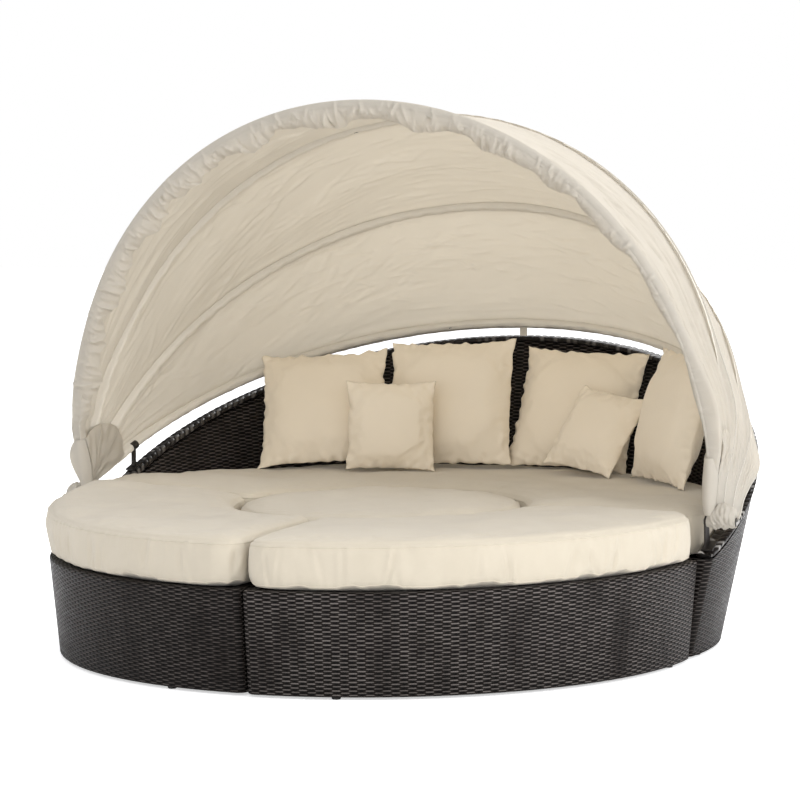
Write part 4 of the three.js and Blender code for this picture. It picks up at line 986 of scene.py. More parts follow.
def make_cushions():
    inset = 0.006
    outer = OTTOMAN_RADIUS + OTTOMAN_FLARE * SEAT - inset
    sides = ("x", GAP + inset), ("y", SPLIT - GAP - inset)
    plan = sector(outer, ARC_CENTRE, HOLLOW_RADIUS + inset, *sides)
    right = seat_cushion("right_ottoman_pad", *plan, (300, 60), 11, move=RIGHT_FORWARD)
    left = seat_cushion("left_ottoman_pad", *plan, (300, 60), 23, mirror=True, plump=(0.98, -0.12))
    inset = 0.005
    outer = BACK_RADIUS + BACK_FLARE * 0.2857 - WALL - inset
    side = ("y", SPLIT + GAP + inset)
    plan = sector(outer, 0.0, HOLLOW_RADIUS + inset, side, side)
    back = seat_cushion("back_pad", *plan, (300, 64), 37, plump=(-0.98, -0.12))
    middle = seat_cushion("middle_ottoman_pad", None, ROUND_RADIUS - 0.006, 0.0, (84, 84), 41)
    for made, body, cushion in (
        (right, "right_ottoman", "right_ottoman_cushion"),
        (left, "left_ottoman", "left_ottoman_cushion"),
        (back, "back_sofa", "back_cushion"),
        (middle, "middle_ottoman", "middle_ottoman_cushion"),
    ):
        replace(made, body, cushion)


# Pillows

# Facing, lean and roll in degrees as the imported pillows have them, size, thickness and seed
PILLOWS = {
    "large_pillow_1": (-77, 32, -4, 0.445, 0.140, 3),
    "large_pillow_2": (-84, 19, -2, 0.445, 0.140, 5),
    "large_pillow_3": (-92, 27, 2, 0.445, 0.140, 8),
    "large_pillow_4": (-140, 16, 0.5, 0.445, 0.140, 13),
    "small_pillow_1": (-70, 11, 1, 0.305, 0.105, 21),
    "small_pillow_2": (-110, 33, 8, 0.305, 0.105, 34),
}


def pillow_blank(cells, size, thickness):
    """Two squares of cloth sewn together at their edges and filled: on each side the half
    thickness is ((1 - u^6)(1 - v^6))^0.8 (1 - 0.3 (u^2 + v^2)), and the edges are drawn in
    between the corners by 0.045 (1 - v^4)."""
    share = np.linspace(-1, 1, cells + 1)
    u, v = np.meshgrid(share, share, indexing="ij")
    half = size / 2
    fill = ((1 - u**6) * (1 - v**6)).clip(0) ** 0.8 * (1 - 0.3 * (u * u + v * v))
    x = u * half * (1 - PILLOW_DRAWN * (1 - v**4))
    z = v * half * (1 - PILLOW_DRAWN * (1 - u**4))
    front = np.stack([x, -fill * thickness / 2, z], axis=-1).reshape(-1, 3)
    back = np.stack([x, fill * thickness / 2, z], axis=-1).reshape(-1, 3)
    count = (cells + 1) ** 2
    ring = boundary(cells + 1, cells + 1)
    inside = np.ones(count, bool)
    inside[ring] = False
    twin = np.arange(count)
    twin[inside] = count + np.arange(inside.sum())
    faces = quads(cells + 1, cells + 1)
    both = np.concatenate([faces, twin[faces][:, ::-1]])
    flat = np.stack([u * half, v * half], axis=-1).reshape(-1, 2)
    uv = np.concatenate([flat[faces], flat[faces][:, ::-1]])
    return np.concatenate([front, back[inside]]), both, uv, ring


def near_seam(places, size, reach):
    """1 on the seam of a pillow, falling to 0 at a distance from it."""
    edge = size / 2 - np.maximum(np.abs(places[:, 0]), np.abs(places[:, 2])) - PILLOW_DRAWN * size / 2
    return 1 - ease(edge, 0, reach)


def blown(made, size, seed, frames=22):
    """Cloth simulation of a sewn cover: the filling presses outwards, without gravity, while
    the seam is drawn together a little, which puckers the cloth beside it. The movement d is
    held to c tanh(d/c), and the seam is waved a little. The result is read from the mesh and the
    modifier is removed."""
    start = read_places(made.data)
    seam = near_seam(start - SHIFT, size, 0.012)
    beside = near_seam(start - SHIFT, size, 0.06)
    start[:, 1] += ripple(start, 0.035, seed) * 0.0022 * beside + ripple(start, 0.16, seed + 1) * 0.0012
    made.data.vertices.foreach_set("co", start.ravel())
    group = made.vertex_groups.new(name="seam")
    for level in range(1, 11):
        members = np.nonzero(np.round(seam * 10) == level)[0].tolist()
        group.add(members, level / 10, "REPLACE")
    cloth = made.modifiers.new("cover", "CLOTH")
    setup = cloth.settings
    setup.quality = 6
    setup.mass = 0.25
    setup.tension_stiffness = setup.compression_stiffness = 30
    setup.shear_stiffness = 12
    setup.bending_stiffness = 0.15
    setup.air_damping = 2.0
    setup.use_pressure = True
    setup.uniform_pressure_force = 1.6
    setup.vertex_group_shrink = group.name
    setup.shrink_min, setup.shrink_max = 0.0, 0.09
    setup.effector_weights.gravity = 0.0
    cloth.collision_settings.use_collision = False
    cloth.point_cache.frame_end = frames
    scene = bpy.context.scene
    for number in range(1, frames + 1):
        scene.frame_set(number)
    result = read_places(made.evaluated_get(bpy.context.evaluated_depsgraph_get()).data)
    made.modifiers.remove(cloth)
    made.vertex_groups.remove(group)
    scene.frame_set(1)
    moved = (result - start).astype(float)
    far = np.maximum(np.linalg.norm(moved, axis=1, keepdims=True), 1e-9)
    places = start + moved * np.tanh(far / PILLOW_MOVE) * PILLOW_MOVE / far
    waves = ripple(places * [1, 0, 1], 0.028, seed + 2) * near_seam(start - SHIFT, size, 0.03)
    waves = waves[:, None]
    return places * (1 - [0.010, 0, 0.010] * waves) + waves * [0, 0.0022, 0]


def rotation(axis, degrees):
    c, s = math.cos(math.radians(degrees)), math.sin(math.radians(degrees))
    x = {"x": [[1, 0, 0], [0, c, -s], [0, s, c]], "y": [[c, 0, s], [0, 1, 0], [-s, 0, c]]}
    return np.array(x[axis] if axis in x else [[c, -s, 0], [s, c, 0], [0, 0, 1]])


def make_pillow(node, facing, lean, roll, size, thickness, seed):
    places, faces, uv, ring = pillow_blank(60 if size > 0.4 else 44, size, thickness * 0.94)
    made = piece(node + "_cover", places, faces, uv, PILLOW_CLOTH)
    shape = blown(made, size, seed) - SHIFT
    shape = shape - (shape.max(axis=0) + shape.min(axis=0)) / 2
    extent = shape.max(axis=0) - shape.min(axis=0)
    shape = shape * [size / extent[0], thickness / extent[1], size / extent[2]]
    turned = shape @ rotation("y", roll).T
    turned = (turned + [0, 0, size / 2]) @ rotation("x", -lean).T @ rotation("z", facing + 90).T
    low, high = np.array(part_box(node))
    middle = (turned.max(axis=0) + turned.min(axis=0)) / 2
    turned = turned - middle + (low + high) / 2
    made.data.vertices.foreach_set("co", turned.astype(np.float32).ravel())
    made.data.update()
    on_ring = np.zeros(len(places), bool)
    on_ring[ring] = True
    ends = np.empty(len(made.data.edges) * 2, np.int32)
    made.data.edges.foreach_get("vertices", ends)
    crease = made.data.attributes.new("crease_edge", "FLOAT", "EDGE")
    crease.data.foreach_set("value", on_ring[ends.reshape(-1, 2)].all(axis=1).astype(np.float32) * 0.8)
    fine = made.modifiers.new("fine", "SUBSURF")
    fine.levels = fine.render_levels = 1
    replace(made, "back_sofa", node)
    return made


# Canopy

# Turn about the pin in degrees, reach, half width and end along the pin of each bow, front to rear
BOWS = {
    "front": (98.8, 1.270, 1.064, 1.0490),
    "second": (71.1, 1.287, 1.068, 1.0716),
    "third": (44.9, 1.314, 1.074, 1.0942),
    "rear": (22.6, 1.345, 1.080, 1.1168),
}
BODY = {"front": "front_bow", "second": "second_bow", "third": "third_bow", "rear": "back_sofa"}
# Height of a bow's straight leg, of the bend in its foot, and the power of its arch
LEG, JOGGLE, ARCH = 0.139, 0.260, 2.03
# The cloth: thickness, distance from a tube's middle, sag, length of its own map, width of the hem
CLOTH, CLOTH_OFF, SAG, CLOTH_RUN, HEM = 0.0024, 0.014, 0.016, 3.9, 0.09
SIDE_NAME = {1: "_right", -1: "_left"}
# How far from the pin the covers over the feet start, and where they end at each bow
COVER_START = 0.022
COVER_TOP = {"front": 0.200, "second": 0.250, "third": 0.300, "rear": 0.290}


def bow_plan(bow, share):
    """Place of a bow in its own plane: a straight leg, then the arch |x/w|^2.03 + |y/r|^2.03 = 1,
    pushed out near the pin by 1 - smoothstep to the bow's place along it."""
    _, reach, half, end = BOWS[bow]
    leg_share = LEG / (reach + half)
    side = np.where(share < 0.5, 1.0, -1.0)
    from_end = np.minimum(share, 1 - share)
    angle = np.clip((from_end - leg_share) / (0.5 - leg_share), 0, 1) * np.pi / 2
    on_leg = from_end <= leg_share
    across = np.where(on_leg, half, half * np.maximum(np.cos(angle), 0) ** (2 / ARCH))
    rise = LEG + (reach - LEG) * np.sin(angle) ** (2 / ARCH)
    away = np.where(on_leg, from_end / leg_share * LEG, rise)
    bend = 1 - ease(away, 0, JOGGLE)
    return side * (across + (end - half) * bend), away


def bow_out(bow):
    turn = math.radians(BOWS[bow][0])
    return np.array([0.0, math.cos(turn), math.sin(turn)])


def bow_frame(bow, share):
    """Place, direction, and the way out of the arch in its own plane, along a bow."""
    x, away = bow_plan(bow, share)
    x0, away0 = bow_plan(bow, np.clip(share - 1e-4, 0, 1))
    x1, away1 = bow_plan(bow, np.clip(share + 1e-4, 0, 1))
    slope = unit(np.stack([x1 - x0, away1 - away0], axis=-1))
    out_of = bow_out(bow)
    point = np.stack([x, 0 * x + PIN_Y, 0 * x + PIN_Z], axis=-1) + away[..., None] * out_of
    out = np.stack([slope[..., 1], 0 * x, 0 * x], axis=-1) - slope[..., :1] * out_of
    along = np.stack([slope[..., 0], 0 * x, 0 * x], axis=-1) + slope[..., 1:] * out_of
    return point, along, out, x, away


def even_shares(bow, places):
    """Shares of a bow at even lengths along it."""
    share = np.linspace(0, 1, 4001)
    run = lengths(bow_frame(bow, share)[0])
    return np.interp(places * run[-1], run, share)


def looseness(x, away):
    """How far the cloth stands off near the feet: h exp(-((away - 0.33) / 0.15)^2), with h 28 mm
    on the right and 8 mm on the left, and nothing at the pin itself."""
    height = np.where(x > 0, 0.028, 0.008)
    return height * np.exp(-(((away - 0.33) / 0.15) ** 2)) * ease(away, 0.05, 0.2)


def cloth_line(bow, places, offset=CLOTH_OFF):
    """Line that the cloth follows over a bow, offset outwards from the tube's middle. Near the
    feet it stands off a little more: see looseness."""
    share = even_shares(bow, places)
    start = 0.021 / (BOWS[bow][1] + BOWS[bow][2])
    share = np.clip(share, start, 1 - start)
    point, _, out, x, away = bow_frame(bow, share)
    loose = looseness(x, away) if offset > 0 else 0 * away
    return point + out * (offset + loose)[..., None], out


def panel_grid(front, rear, rows, columns, trim=0.0003):
    """Outer face of the cloth between two bows, and its way out. It sags between them by
    4 S s (1 - s), less where the bows come together."""
    places = np.linspace(0, 1, rows)
    a, out_a = cloth_line(front, places)
    b, out_b = cloth_line(rear, places)
    share = np.linspace(0, 1, columns)[None, :, None]
    width = np.linalg.norm(b - a, axis=-1)[:, None, None]
    inwards = unit(b - a)[:, None, :]
    out = unit(out_a[:, None] + (out_b - out_a)[:, None] * share)
    edge = np.where(share == 0, 1.0, 0.0) - np.where(share == 1, 1.0, 0.0)
    sag = SAG * 4 * share * (1 - share) * np.minimum(width / 0.278, 1)
    point = a[:, None] + (b - a)[:, None] * share + inwards * edge * trim - out * sag
    return point, out, width[..., 0], places


def creases(along, across, seed, count, area, half, width, height, lean=0.22):
    """Sum of short crisp folds, each h exp(-(v / w)^2) (1 - (u / l)^2)^2 in its own turned
    coordinates, bent a little, with places drawn inside an area (low and high of both)."""
    random = np.random.default_rng(seed)
    total = np.zeros(np.broadcast(along, across).shape)
    for _ in range(count):
        du = along - random.uniform(*area[0])
        dv = across - random.uniform(*area[1])
        turn = random.normal(0, lean)
        length, thick = random.uniform(*half), random.uniform(*width)
        bend = random.normal(0, 0.5)
        high = height * random.uniform(0.4, 1.0) * (1 if random.random() < 0.3 else -1)
        u = du * math.cos(turn) + dv * math.sin(turn)
        v = dv * math.cos(turn) - du * math.sin(turn) - bend * u * u
        total += high * np.exp(-((v / thick) ** 2)) * (1 - (u / length) ** 2).clip(0) ** 2
    return total


def fan_folds(share, away, seed, count, reach=(0.35, 1.0)):
    """Folds that run out from the feet and die away: inwards by up to 6 mm, at nearly constant
    shares between the bows, so that they draw together towards the pins."""
    random = np.random.default_rng(seed)
    total = np.zeros(np.broadcast(share, away).shape)
    for k in range(count):
        middle = (k + random.uniform(0.2, 0.8)) / count
        far = random.uniform(*reach)
        drift = random.normal(0, 0.06)
        thick = random.uniform(0.020, 0.036)
        near = ease(away, 0.08, 0.2) * (1 - ease(away, far * 0.45, far))
        line = share - middle - drift * away
        total -= random.uniform(0.4, 1.0) * 0.0065 * near * np.exp(-((line / thick) ** 2))
    return total


def knot_folds(y, z, seed, count=9):
    """Gathers that spread from the knot on the front bow: ridges at chosen directions about it,
    growing over 15 mm and dying away over 0.2 m."""
    random = np.random.default_rng(seed)
    turn = math.radians(BOWS["front"][0] - 2)
    dy = y - PIN_Y - 0.300 * math.cos(turn)
    dz = z - PIN_Z - 0.300 * math.sin(turn)
    far = np.hypot(dy, dz)
    heading = np.degrees(np.arctan2(dz, dy))
    total = np.zeros(far.shape)
    for k in range(count):
        line = -95 + 75 * (k + random.uniform(0.2, 0.8)) / count
        wide = random.uniform(2.6, 4.6)
        reach = random.uniform(0.12, 0.24)
        rise = ease(far, 0.004, 0.03) * (1 - ease(far, reach * 0.4, reach))
        total += random.uniform(0.5, 1.0) * 0.0055 * rise * np.exp(-(((heading - line) / wide) ** 2))
    return total - 0.010 * np.exp(-((far / 0.018) ** 2))


def make_panel(name, front, rear, seed, sewn):
    """Gore of the canopy: the sagging surface with a dip beside each bow, small crisp folds,
    folds fanning out from the feet and gathers round the knot, and a second face one cloth's
    thickness inside it."""
    rows, columns = 436, 100
    point, out, width, places = panel_grid(front, rear, rows, columns)
    share = np.linspace(0, 1, columns)[None, :]
    run = places[:, None] * CLOTH_RUN
    across = share * width
    away = np.linalg.norm(point[..., 1:] - [PIN_Y, PIN_Z], axis=-1)
    held = ease(across, 0.004, 0.03) * ease(width - across, 0.004, 0.03)
    flat = np.stack([run * 0.5 + 0 * across, across + 0 * run], axis=-1)
    broad = ripple(flat, 0.22, seed) * 0.0022
    wide = float(width.max())
    area = (0.5, 3.4), (0.02, wide - 0.02)
    small = creases(run, across, seed + 1, 110, area, (0.05, 0.14), (0.005, 0.009), 0.0044)
    area = (1.1, 2.9), (0.02, wide * 0.55)
    small += creases(run, across, seed + 2, 100, area, (0.03, 0.09), (0.0045, 0.0075), 0.0042, 0.4)
    fine = ripple(flat * [0.5, 1.0], 0.035, seed + 3) * 0.0006
    edges = np.exp(-(((across - 0.026) / 0.014) ** 2)) + np.exp(-(((width - across - 0.026) / 0.014) ** 2))
    dip = 0.0045 * edges * ease(away, 0.15, 0.35)
    free = ease(width, 0.03, 0.12)
    if front == "front":
        fan = fan_folds(share, away, seed + 9, 13, (0.7, 1.4)) * 1.3
    else:
        fan = fan_folds(share, away, seed + 4, 8)
    lift_by = (broad + small * free + fine + fan) * held - dip * free
    if front == "front":
        area = (0.01, 0.05), (0.3, 3.6)
        pucker = creases(across, run, seed + 6, 150, area, (0.03, 0.09), (0.006, 0.010), 0.0050, 0.3)
        lift_by += pucker * held
    lift_by = np.clip(lift_by, -0.016, 0.003)
    lift_by += 2.4 * knot_folds(point[..., 1], point[..., 2], 55)
    outer = point + out * lift_by[..., None]
    inner = outer - out * CLOTH
    s = np.broadcast_to(run, across.shape)
    made = sheet_solid("canopy_" + name + "_cloth", outer, inner, s, across + 0 * run, CANOPY_CLOTH)
    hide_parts("canopy_" + name + "_panel")
    follow(made, outer[rows // 2, 0], outer[rows // 2, -1])
    area = round(surface_area(outer), 3)
    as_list(sewn)
    return made


def follow(made, front_end, rear_end):
    """Bakes a cloth's placement into its mesh and reads its points back."""
    tuple(rear_end + SHIFT)
    tuple(front_end + SHIFT)
    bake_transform(made)
    places = read_places(made.data).astype(float) - SHIFT


def leg_place(bow, away):
    """How far from the middle of the bed a bow's foot stands, at a distance from the pin."""
    share = np.linspace(0, 0.3, 900)
    x, far = bow_plan(bow, share)
    return np.interp(away, far, x)


def make_foot_cover(side, front, rear, seed):
    """Cloth inside the feet of two bows, from below the pin to its hemmed top edge. At the front
    bow it also goes round the foot to the outside, where it is full on the left side."""
    rows, columns = 60, 44
    up = np.linspace(0, 1, rows)[:, None]
    share = np.linspace(0, 1, columns)[None, :]
    part = share * (0.93 if rear == "rear" else 1.0)
    low, high = BOWS[front][0], BOWS[rear][0]
    top = COVER_TOP[front] + (COVER_TOP[rear] - COVER_TOP[front]) * part
    away = COVER_START + (top - COVER_START) * up
    turn = np.radians(low + (high - low) * part)
    x = leg_place(front, away) * (1 - part) + leg_place(rear, away) * part
    slack = 0.004 + 0.010 * np.sin(np.pi * up) ** 0.7
    spread = np.stack(np.broadcast_arrays(np.degrees(turn) * 0.004, away * 0.6), axis=-1)
    inner_part = np.sin(np.pi * np.clip(share, 0.02, 0.98)) ** 0.3
    folds = ripple(spread, 0.06, seed) * 0.0024 * ease(up, 0.0, 0.3) * inner_part
    level = -(TUBE + 0.0035) - slack - folds
    height = away * (1 + 0 * turn)
    places = [side * (x + level), PIN_Y + height * np.cos(turn), PIN_Z + height * np.sin(turn)]
    outer = np.stack(places, axis=-1)
    way = np.zeros_like(outer)
    way[..., 0] = side
    if front == "front":
        out_of = bow_out("front")
        rearwards = np.array([0.0, out_of[2], -out_of[1]])
        bend = np.linspace(-0.08, 1.0, 22)[::-1] * math.radians(200)
        radius = -level[:, :1] * (1 - 0.35 * ease(bend, 1.2, 3.0))[None, :]
        outwards = np.clip(-np.cos(bend), 0, 1) ** 3
        fullness = 0.026 if side < 0 else 0.006
        radius = radius + fullness * np.sin(np.pi * up**1.6) ** 0.8 * outwards[None, :]
        foot = np.array([0, PIN_Y, PIN_Z]) + away[:, :1, None] * out_of
        sideways = np.array([1.0, 0, 0])
        foot = foot + side * leg_place("front", away[:, :1])[..., None] * sideways
        round_x = -side * np.cos(bend)[None, :] * radius
        round_b = -np.abs(np.sin(bend))[None, :] * radius * 1.15
        ring = foot + round_x[..., None] * sideways + round_b[..., None] * rearwards
        skip = 3
        outer = np.concatenate([ring[:, :-1], outer[:, skip:]], axis=1)
        way = np.concatenate([unit(foot - ring)[:, :-1], way[:, skip:]], axis=1)
    s, t = np.broadcast_arrays(lengths(outer[rows // 2])[None, :], away[:, :1])
    name = "foot_cover_" + front + SIDE_NAME[side]
    made = sheet_solid(name, outer, outer + way * 0.0020, np.array(s), np.array(t), CANOPY_CLOTH)
    follow(made, outer[-1, columns // 4], outer[-1, -1])
    wide, tall = lengths(outer[-1])[-1] * 1.03, lengths(outer[:, -1])[-1] * 1.05
    return made


def make_boot(side):
    """Gathered cloth bag round the hubs on one pin: about the pin, radius
    16.5 mm + (3 mm + 36 mm high) sin(pi share)^n, where high is 1 towards the bows and 0 away from
    them, and n is small towards the bows, so that it is a drop whose tip is below the hubs."""
    rows, columns = 90, 44
    turn = np.linspace(0, 2 * np.pi, rows)[:, None] - np.pi / 2
    share = np.linspace(0, 1, columns)[None, :]
    high = (0.5 + 0.5 * np.cos(turn - np.radians(62))) ** 2.0
    first, last = BOWS["front"][3] - 0.0105, BOWS["rear"][3] + 0.0112
    full = np.sin(np.pi * share) ** (0.9 - 0.62 * high)
    turned = np.stack(np.broadcast_arrays(0.012 * turn, (last - first) * share), axis=-1)
    gather = (ripple(turned, 0.010, 301 + side) + ripple(turned, 0.022, 303 + side)) * 0.0016
    radius = 0.0165 + (0.003 + 0.036 * high) * full + gather * full
    x = first + (last - first) * share
    way = np.stack(np.broadcast_arrays(0 * radius, np.cos(turn), np.sin(turn)), axis=-1)
    middle = np.stack(np.broadcast_arrays(side * x, PIN_Y + 0 * radius, PIN_Z + 0 * radius), axis=-1)
    outer = middle + way * radius[..., None]
    inner = outer - way * 0.0016
    s, t = np.broadcast_arrays(0.03 * (turn + 2.0), x)
    made = sheet_solid("hub_boot" + SIDE_NAME[side], outer, inner, np.array(s), np.array(t), CANOPY_CLOTH)
    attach(made, "back_sofa")
    return made


def tube_rings(point, along, out, section):
    """Section (in, across) carried along a line: p + out * in + (along x out) * across."""
    beside = np.cross(along, out)
    return point[:, None] + out[:, None] * section[None, :, :1] + beside[:, None] * section[None, :, 1:]


def make_bow(bow):
    """Round tube along a bow, flattened to 0.55 near the pin, with a turned hub at each end. All
    are closed."""
    places = np.linspace(0, 1, 320)
    point, along, out, _, away = bow_frame(bow, even_shares(bow, places))
    steps = 24
    angle = 2 * np.pi * np.arange(steps) / steps
    ring = np.stack([np.cos(angle), np.sin(angle)], axis=1)
    grow = (0.55 + 0.45 * ease(away, 0.035, 0.085))[:, None, None]
    middle = point[:, None]
    rings = middle + (tube_rings(point, along, out, ring * TUBE) - middle) * grow
    first, last = (np.repeat([end.mean(axis=0)], steps, 0)[None] for end in (rings[0], rings[-1]))
    grids = [np.concatenate([first, rings, last])]
    profile = np.array([[0, 0], [0.0135, 0], [0.015, 0.0015], [0.015, 0.0205], [0.0135, 0.022], [0, 0.022]])
    turn = 2 * np.pi * np.arange(32) / 32
    for side in (1, -1):
        hub = np.zeros((len(profile), len(turn), 3))
        hub[..., 0] = side * (BOWS[bow][3] + profile[:, 1:] - 0.011)
        hub[..., 1] = PIN_Y + profile[:, :1] * np.cos(turn)
        hub[..., 2] = PIN_Z + profile[:, :1] * np.sin(turn) * side
        grids.append(hub)
    faces, count = [], 0
    for grid in grids:
        faces.append(quads(*grid.shape[:2], False, True) + count)
        count += grid.shape[0] * grid.shape[1]
    points = np.concatenate([grid.reshape(-1, 3) for grid in grids])
    made = piece(bow + "_bow_tube", points, np.concatenate(faces), None, TUBE_COAT)
    merge(made)
    return replace(made, BODY[bow], bow + "_bow")


def make_pocket(bow, seed):
    """Sleeve sewn inside the cloth around a bow: a flat back under the panels, and a front that
    bows in round the tube and comes back to the cloth at both stitched edges."""
    places = np.linspace(0, 1, 460)
    point, out = cloth_line(bow, places, 0.0)
    _, along, _, _, away = bow_frame(bow, even_shares(bow, places))
    keep = away > COVER_TOP[bow] - 0.03
    point, out, along, places = point[keep], out[keep], along[keep], places[keep]
    half = 0.023
    w = np.linspace(-1, 1, 17)
    bulge = np.exp(-((np.abs(w) / 0.62) ** 4))
    front = np.stack([-0.0125 * bulge + 0.0105 * (1 - bulge), w * half], axis=1)
    back = np.stack([np.full(9, 0.0113), np.linspace(1, -1, 9) * half], axis=1)
    section = np.concatenate([front, back])
    rings = tube_rings(point, along, out, section)
    run = places * CLOTH_RUN
    inward = (section[:, 0] < 0.0109)[None, :]
    spread = np.stack(np.broadcast_arrays(run[:, None], section[None, :, 1] * 1.5), axis=-1)
    wave = ripple(spread, 0.05, seed)
    rings = rings - out[:, None] * (wave * 0.0010 * inward)[..., None]
    rows, count = rings.shape[:2]
    s, t = np.meshgrid(run, lengths(section, closed=True), indexing="ij")
    numbers = np.arange(rows * count).reshape(rows, count)
    caps = cap_quads(numbers[0], numbers[-1])
    faces = np.concatenate([quads(rows, count, False, True), caps])
    uv = np.concatenate([corner_uv(s, t, rows, count, False, True), np.zeros((len(caps), 4, 2))])
    made = piece(bow + "_bow_sleeve", rings, faces, uv, TRIM_CLOTH)
    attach(made, BODY[bow])
    return made


def make_welt(bow):
    """Piping over the seam where two panels meet on a bow: a circle of 2.4 mm radius carried along
    the cloth's own line, drawn to a point at both ends."""
    places = np.linspace(0, 1, 420)
    _, along, out, _, _ = bow_frame(bow, even_shares(bow, places))
    point, _ = cloth_line(bow, places, 0.0138)
    steps = 10
    turn = 2 * np.pi * np.arange(steps) / steps
    rings = tube_rings(point, along, out, np.stack([np.cos(turn), np.sin(turn)], axis=1) * 0.0024)
    first, last = (np.repeat([end], steps, 0)[None] for end in (point[0], point[-1]))
    rows = np.concatenate([first, rings, last])
    run = np.concatenate([[0], places, [1]]) * CLOTH_RUN
    s, t = np.meshgrid(run, np.arange(steps + 1) * 0.0019, indexing="ij")
    faces, uv = quads(len(rows), steps, False, True), corner_uv(s, t, len(rows), steps, False, True)
    made = piece(bow + "_bow_welt", rows, faces, uv, PIPING_CLOTH)
    merge(made)
    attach(made, BODY[bow])
    return made


def make_front_hem(seed=77):
    """Hem of the canopy: from the front panel's edge round the front bow, and on inside it as a
    facing whose free edge is gathered into tucks and scalloped. It narrows towards both feet, and
    where its folds would meet the tube they are held to half a millimetre."""
    places = np.linspace(0, 1, 1160)
    point, out = cloth_line("front", places, 0.0)
    _, along, _, x, away = bow_frame("front", even_shares("front", places))
    loose = looseness(x, away)
    beside = np.cross(along, out)
    run = places * 3.8
    path = np.array(
        [
            [-0.0012, 0.0142], [-0.0060, 0.0132], [-0.0102, 0.0095], [-0.0122, 0.0040],
            [-0.0128, -0.0010], [-0.0122, -0.0045], [-0.0128, -0.0090], [-0.0135, -0.0150],
            [-0.0130, -0.0220], [-0.0115, -0.0290], [-0.0085, -0.0360], [-0.0040, -0.0425],
            [0.0015, -0.0485], [0.0080, -0.0535],
        ]
    )  # fmt: skip
    share_of = lengths(path) / lengths(path)[-1]
    fine = np.linspace(0, 1, 42)
    path = np.stack([np.interp(fine, share_of, path[:, k]) for k in range(2)], axis=1)
    inside = ease(fine, 0.40, 1.0)[None, :]
    reach = 0.34 + 0.66 * ease(places, 0.10, 0.40)
    reach = (reach - (reach - 0.22) * (1 - ease(away, 0.22, 0.36)))[:, None]
    wave = ripple(run[:, None], 0.042, seed)[:, None]
    slow = ripple(run[:, None], 0.24, seed + 1)[:, None]
    second = ripple(run[:, None], 0.11, seed + 2)[:, None]
    across = path[None, :, 0] * np.ones((len(places), 1))
    level = path[None, :, 1] * np.ones((len(places), 1))
    facing = np.clip(-0.0045 - level, 0, None)
    scallop = 1 + 0.12 * slow + 0.12 * second + 0.05 * wave
    level = np.where(facing > 0, -0.0045 - facing * reach * scallop, level)
    width = fine[None, :] * HEM
    area = (0.02, HEM), (0.2, 3.6)
    tuck = creases(width, run[:, None], seed + 6, 420, area, (0.02, 0.05), (0.004, 0.007), 0.0066, 0.25)
    push = (wave * 0.0034 + second * 0.0036) * inside * reach + tuck * reach
    across = across + np.minimum(push, 0.0006 + 0.02 * ease(-level, 0.011, 0.022))
    level = level + (wave * 0.0016 + second * 0.0020) * inside * reach
    level = level + loose[:, None] * ease(level, -0.004, 0.012)
    outer = point[:, None] + beside[:, None] * across[..., None] + out[:, None] * level[..., None]
    ahead = np.gradient(outer, axis=1)
    normal = unit(np.cross(along[:, None], ahead))
    s, t = (np.array(a) for a in np.broadcast_arrays(run[:, None], width))
    made = sheet_solid("front_hem", outer, outer + normal * 0.0018, s, t, CANOPY_CLOTH)
    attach(made, "front_bow")
    return made


def make_canopy():
    for bow in reversed(BOWS):
        make_bow(bow)
    seeds = (("rear", 81), ("third", 83), ("second", 85))
    trims = {bow: [make_pocket(bow, seed), make_welt(bow)] for bow, seed in seeds}
    make_panel("rear", "third", "rear", 51, trims["rear"] + trims["third"])
    make_panel("middle", "second", "third", 61, trims["second"])
    make_panel("front", "front", "second", 71, [make_front_hem()])
    for side in (1, -1):
        make_boot(side)
        for front, rear, seed in (("third", "rear", 91), ("second", "third", 94), ("front", "second", 97)):
            make_foot_cover(side, front, rear, seed + side)


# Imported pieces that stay: their finishes


def finish_packed():
    """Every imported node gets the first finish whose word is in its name."""
    words = (
        (GLIDE_PLASTIC, ("foot",)),
        (PIN_STEEL, ("pin",)),
        (FRAME_COAT, ("frame", "deck", "hoop")),
        (WEAVE, ("wicker", "rim")),
        (CANOPY_CLOTH, ("canopy", "strap")),
        (CUSHION_CLOTH, ("cushion", "pillow")),
        (TUBE_COAT, ("",)),
    )
    for name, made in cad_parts.items():
        made.data.materials.clear()
        made.data.materials.append(next(m for m, found in words if any(word in name for word in found)))


# Studio


def make_camera():
    """Camera at the photograph's viewing angle: 22.4 degrees round from the front and 5.3 down,
    then turned by 0.03 degrees left and 0.85 up and rolled by -0.53."""

    def across(ahead):
        right = ahead.cross(Vector((0, 0, 1))).normalized()
        return right, right.cross(ahead)

    turn, tilt = math.radians(22.44), math.radians(5.26)
    ahead = Vector((-math.sin(turn) * math.cos(tilt), math.cos(turn) * math.cos(tilt), -math.sin(tilt)))
    right, up = across(ahead)
    ahead = (ahead + right * math.radians(-0.03) + up * math.radians(0.85)).normalized()
    right, up = across(ahead)
    roll = math.radians(-0.53)
    side = right * math.cos(roll) + up * math.sin(roll)
    over = -right * math.sin(roll) + up * math.cos(roll)
    data = bpy.data.cameras.new("view")
    data.sensor_width = 36.0
    data.lens = 3128.5 / 800 * data.sensor_width
    data.clip_end = 100.0
    camera = bpy.data.objects.new("view", data)
    bpy.context.scene.collection.objects.link(camera)
    turned = Matrix((side, over, -ahead)).transposed().to_4x4()
    camera.matrix_world = Matrix.Translation((3.748, -9.074 + SHIFT[1], 1.5085)) @ turned
    bpy.context.scene.camera = camera


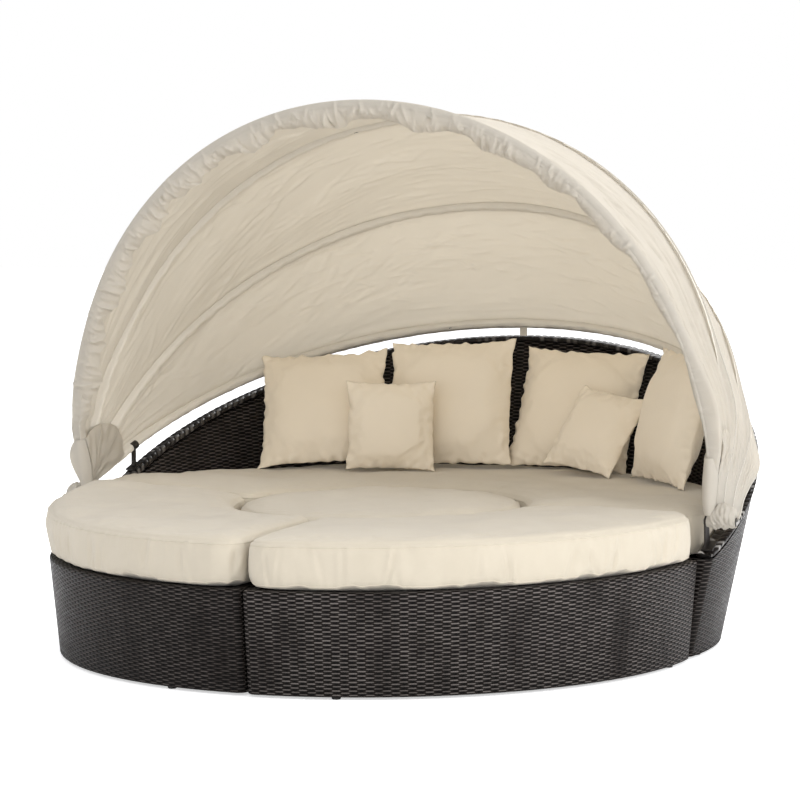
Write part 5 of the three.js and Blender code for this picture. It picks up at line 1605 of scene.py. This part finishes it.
def area_light(name, place, target, size, power):
    data = bpy.data.lights.new(name, "AREA")
    data.shape = "RECTANGLE"
    data.size, data.size_y = size
    data.energy = power
    light = bpy.data.objects.new(name, data)
    bpy.context.scene.collection.objects.link(light)
    light.location = place
    light.rotation_euler = (Vector(target) - Vector(place)).to_track_quat("-Z", "Y").to_euler()


def make_studio():
    """White floor that keeps a soft shadow and glows for the camera, an even white background
    that glossy surfaces see as nearly dark, and soft light: key from the front right, a side light
    from the right, and a wide one from above and behind."""
    f = Finish("studio floor")
    seen = f.node("LightPath", output="Is Camera Ray")
    diffuse = f.node("BsdfDiffuse", (), {"Color": (0.9, 0.9, 0.9, 1.0)})
    glow = f.node("Emission", (), {"Color": (1, 1, 1, 1), "Strength": 0.55})
    both = f.node("AddShader", (), {0: diffuse, 1: glow})
    material = f.done(f.node("MixShader", (), {0: seen, 1: diffuse, 2: both}))
    size = 30.0
    mesh = bpy.data.meshes.new("floor")
    corners = [(-size, -size, 0), (size, -size, 0), (size, size, 0), (-size, size, 0)]
    mesh.from_pydata(corners, [], [(0, 1, 2, 3)])
    mesh.materials.append(material)
    floor = bpy.data.objects.new("floor", mesh)
    bpy.context.scene.collection.objects.link(floor)

    f = Finish(bpy.data.worlds.new("studio"))
    low = f.node("Background", (), {"Color": (0.98, 0.98, 1.0, 1.0), "Strength": 0.96})
    dim = f.node("Background", (), {"Strength": 0.10})
    white = f.node("Background", (), {"Color": (1, 1, 1, 1), "Strength": 1.0})
    mirrored = f.node("MixShader", (), {0: f.node("LightPath", output="Is Glossy Ray"), 1: low, 2: dim})
    camera = f.node("LightPath", output="Is Camera Ray")
    mixed = f.node("MixShader", (), {0: camera, 1: mirrored, 2: white})
    bpy.context.scene.world = f.done(mixed, "OutputWorld")

    area_light("key", (2.6, -8.4, 2.4), (0, 0, 0.8), (6.0, 2.6), 120)
    area_light("side", (8.0, -2.2, 3.1), (0, 0.1, 1.0), (3.0, 3.0), 265)
    area_light("top", (0.0, 4.0, 5.0), (0, 0.3, 0.9), (5.0, 5.0), 385)


make_camera()
make_studio()
finish_packed()
make_bases()
make_wall()
make_lining()
make_back_base()
make_rim()
make_cushions()
for node, pose in PILLOWS.items():
    make_pillow(node, *pose)
make_canopy()
bpy.context.scene.view_settings.view_transform = "Standard"
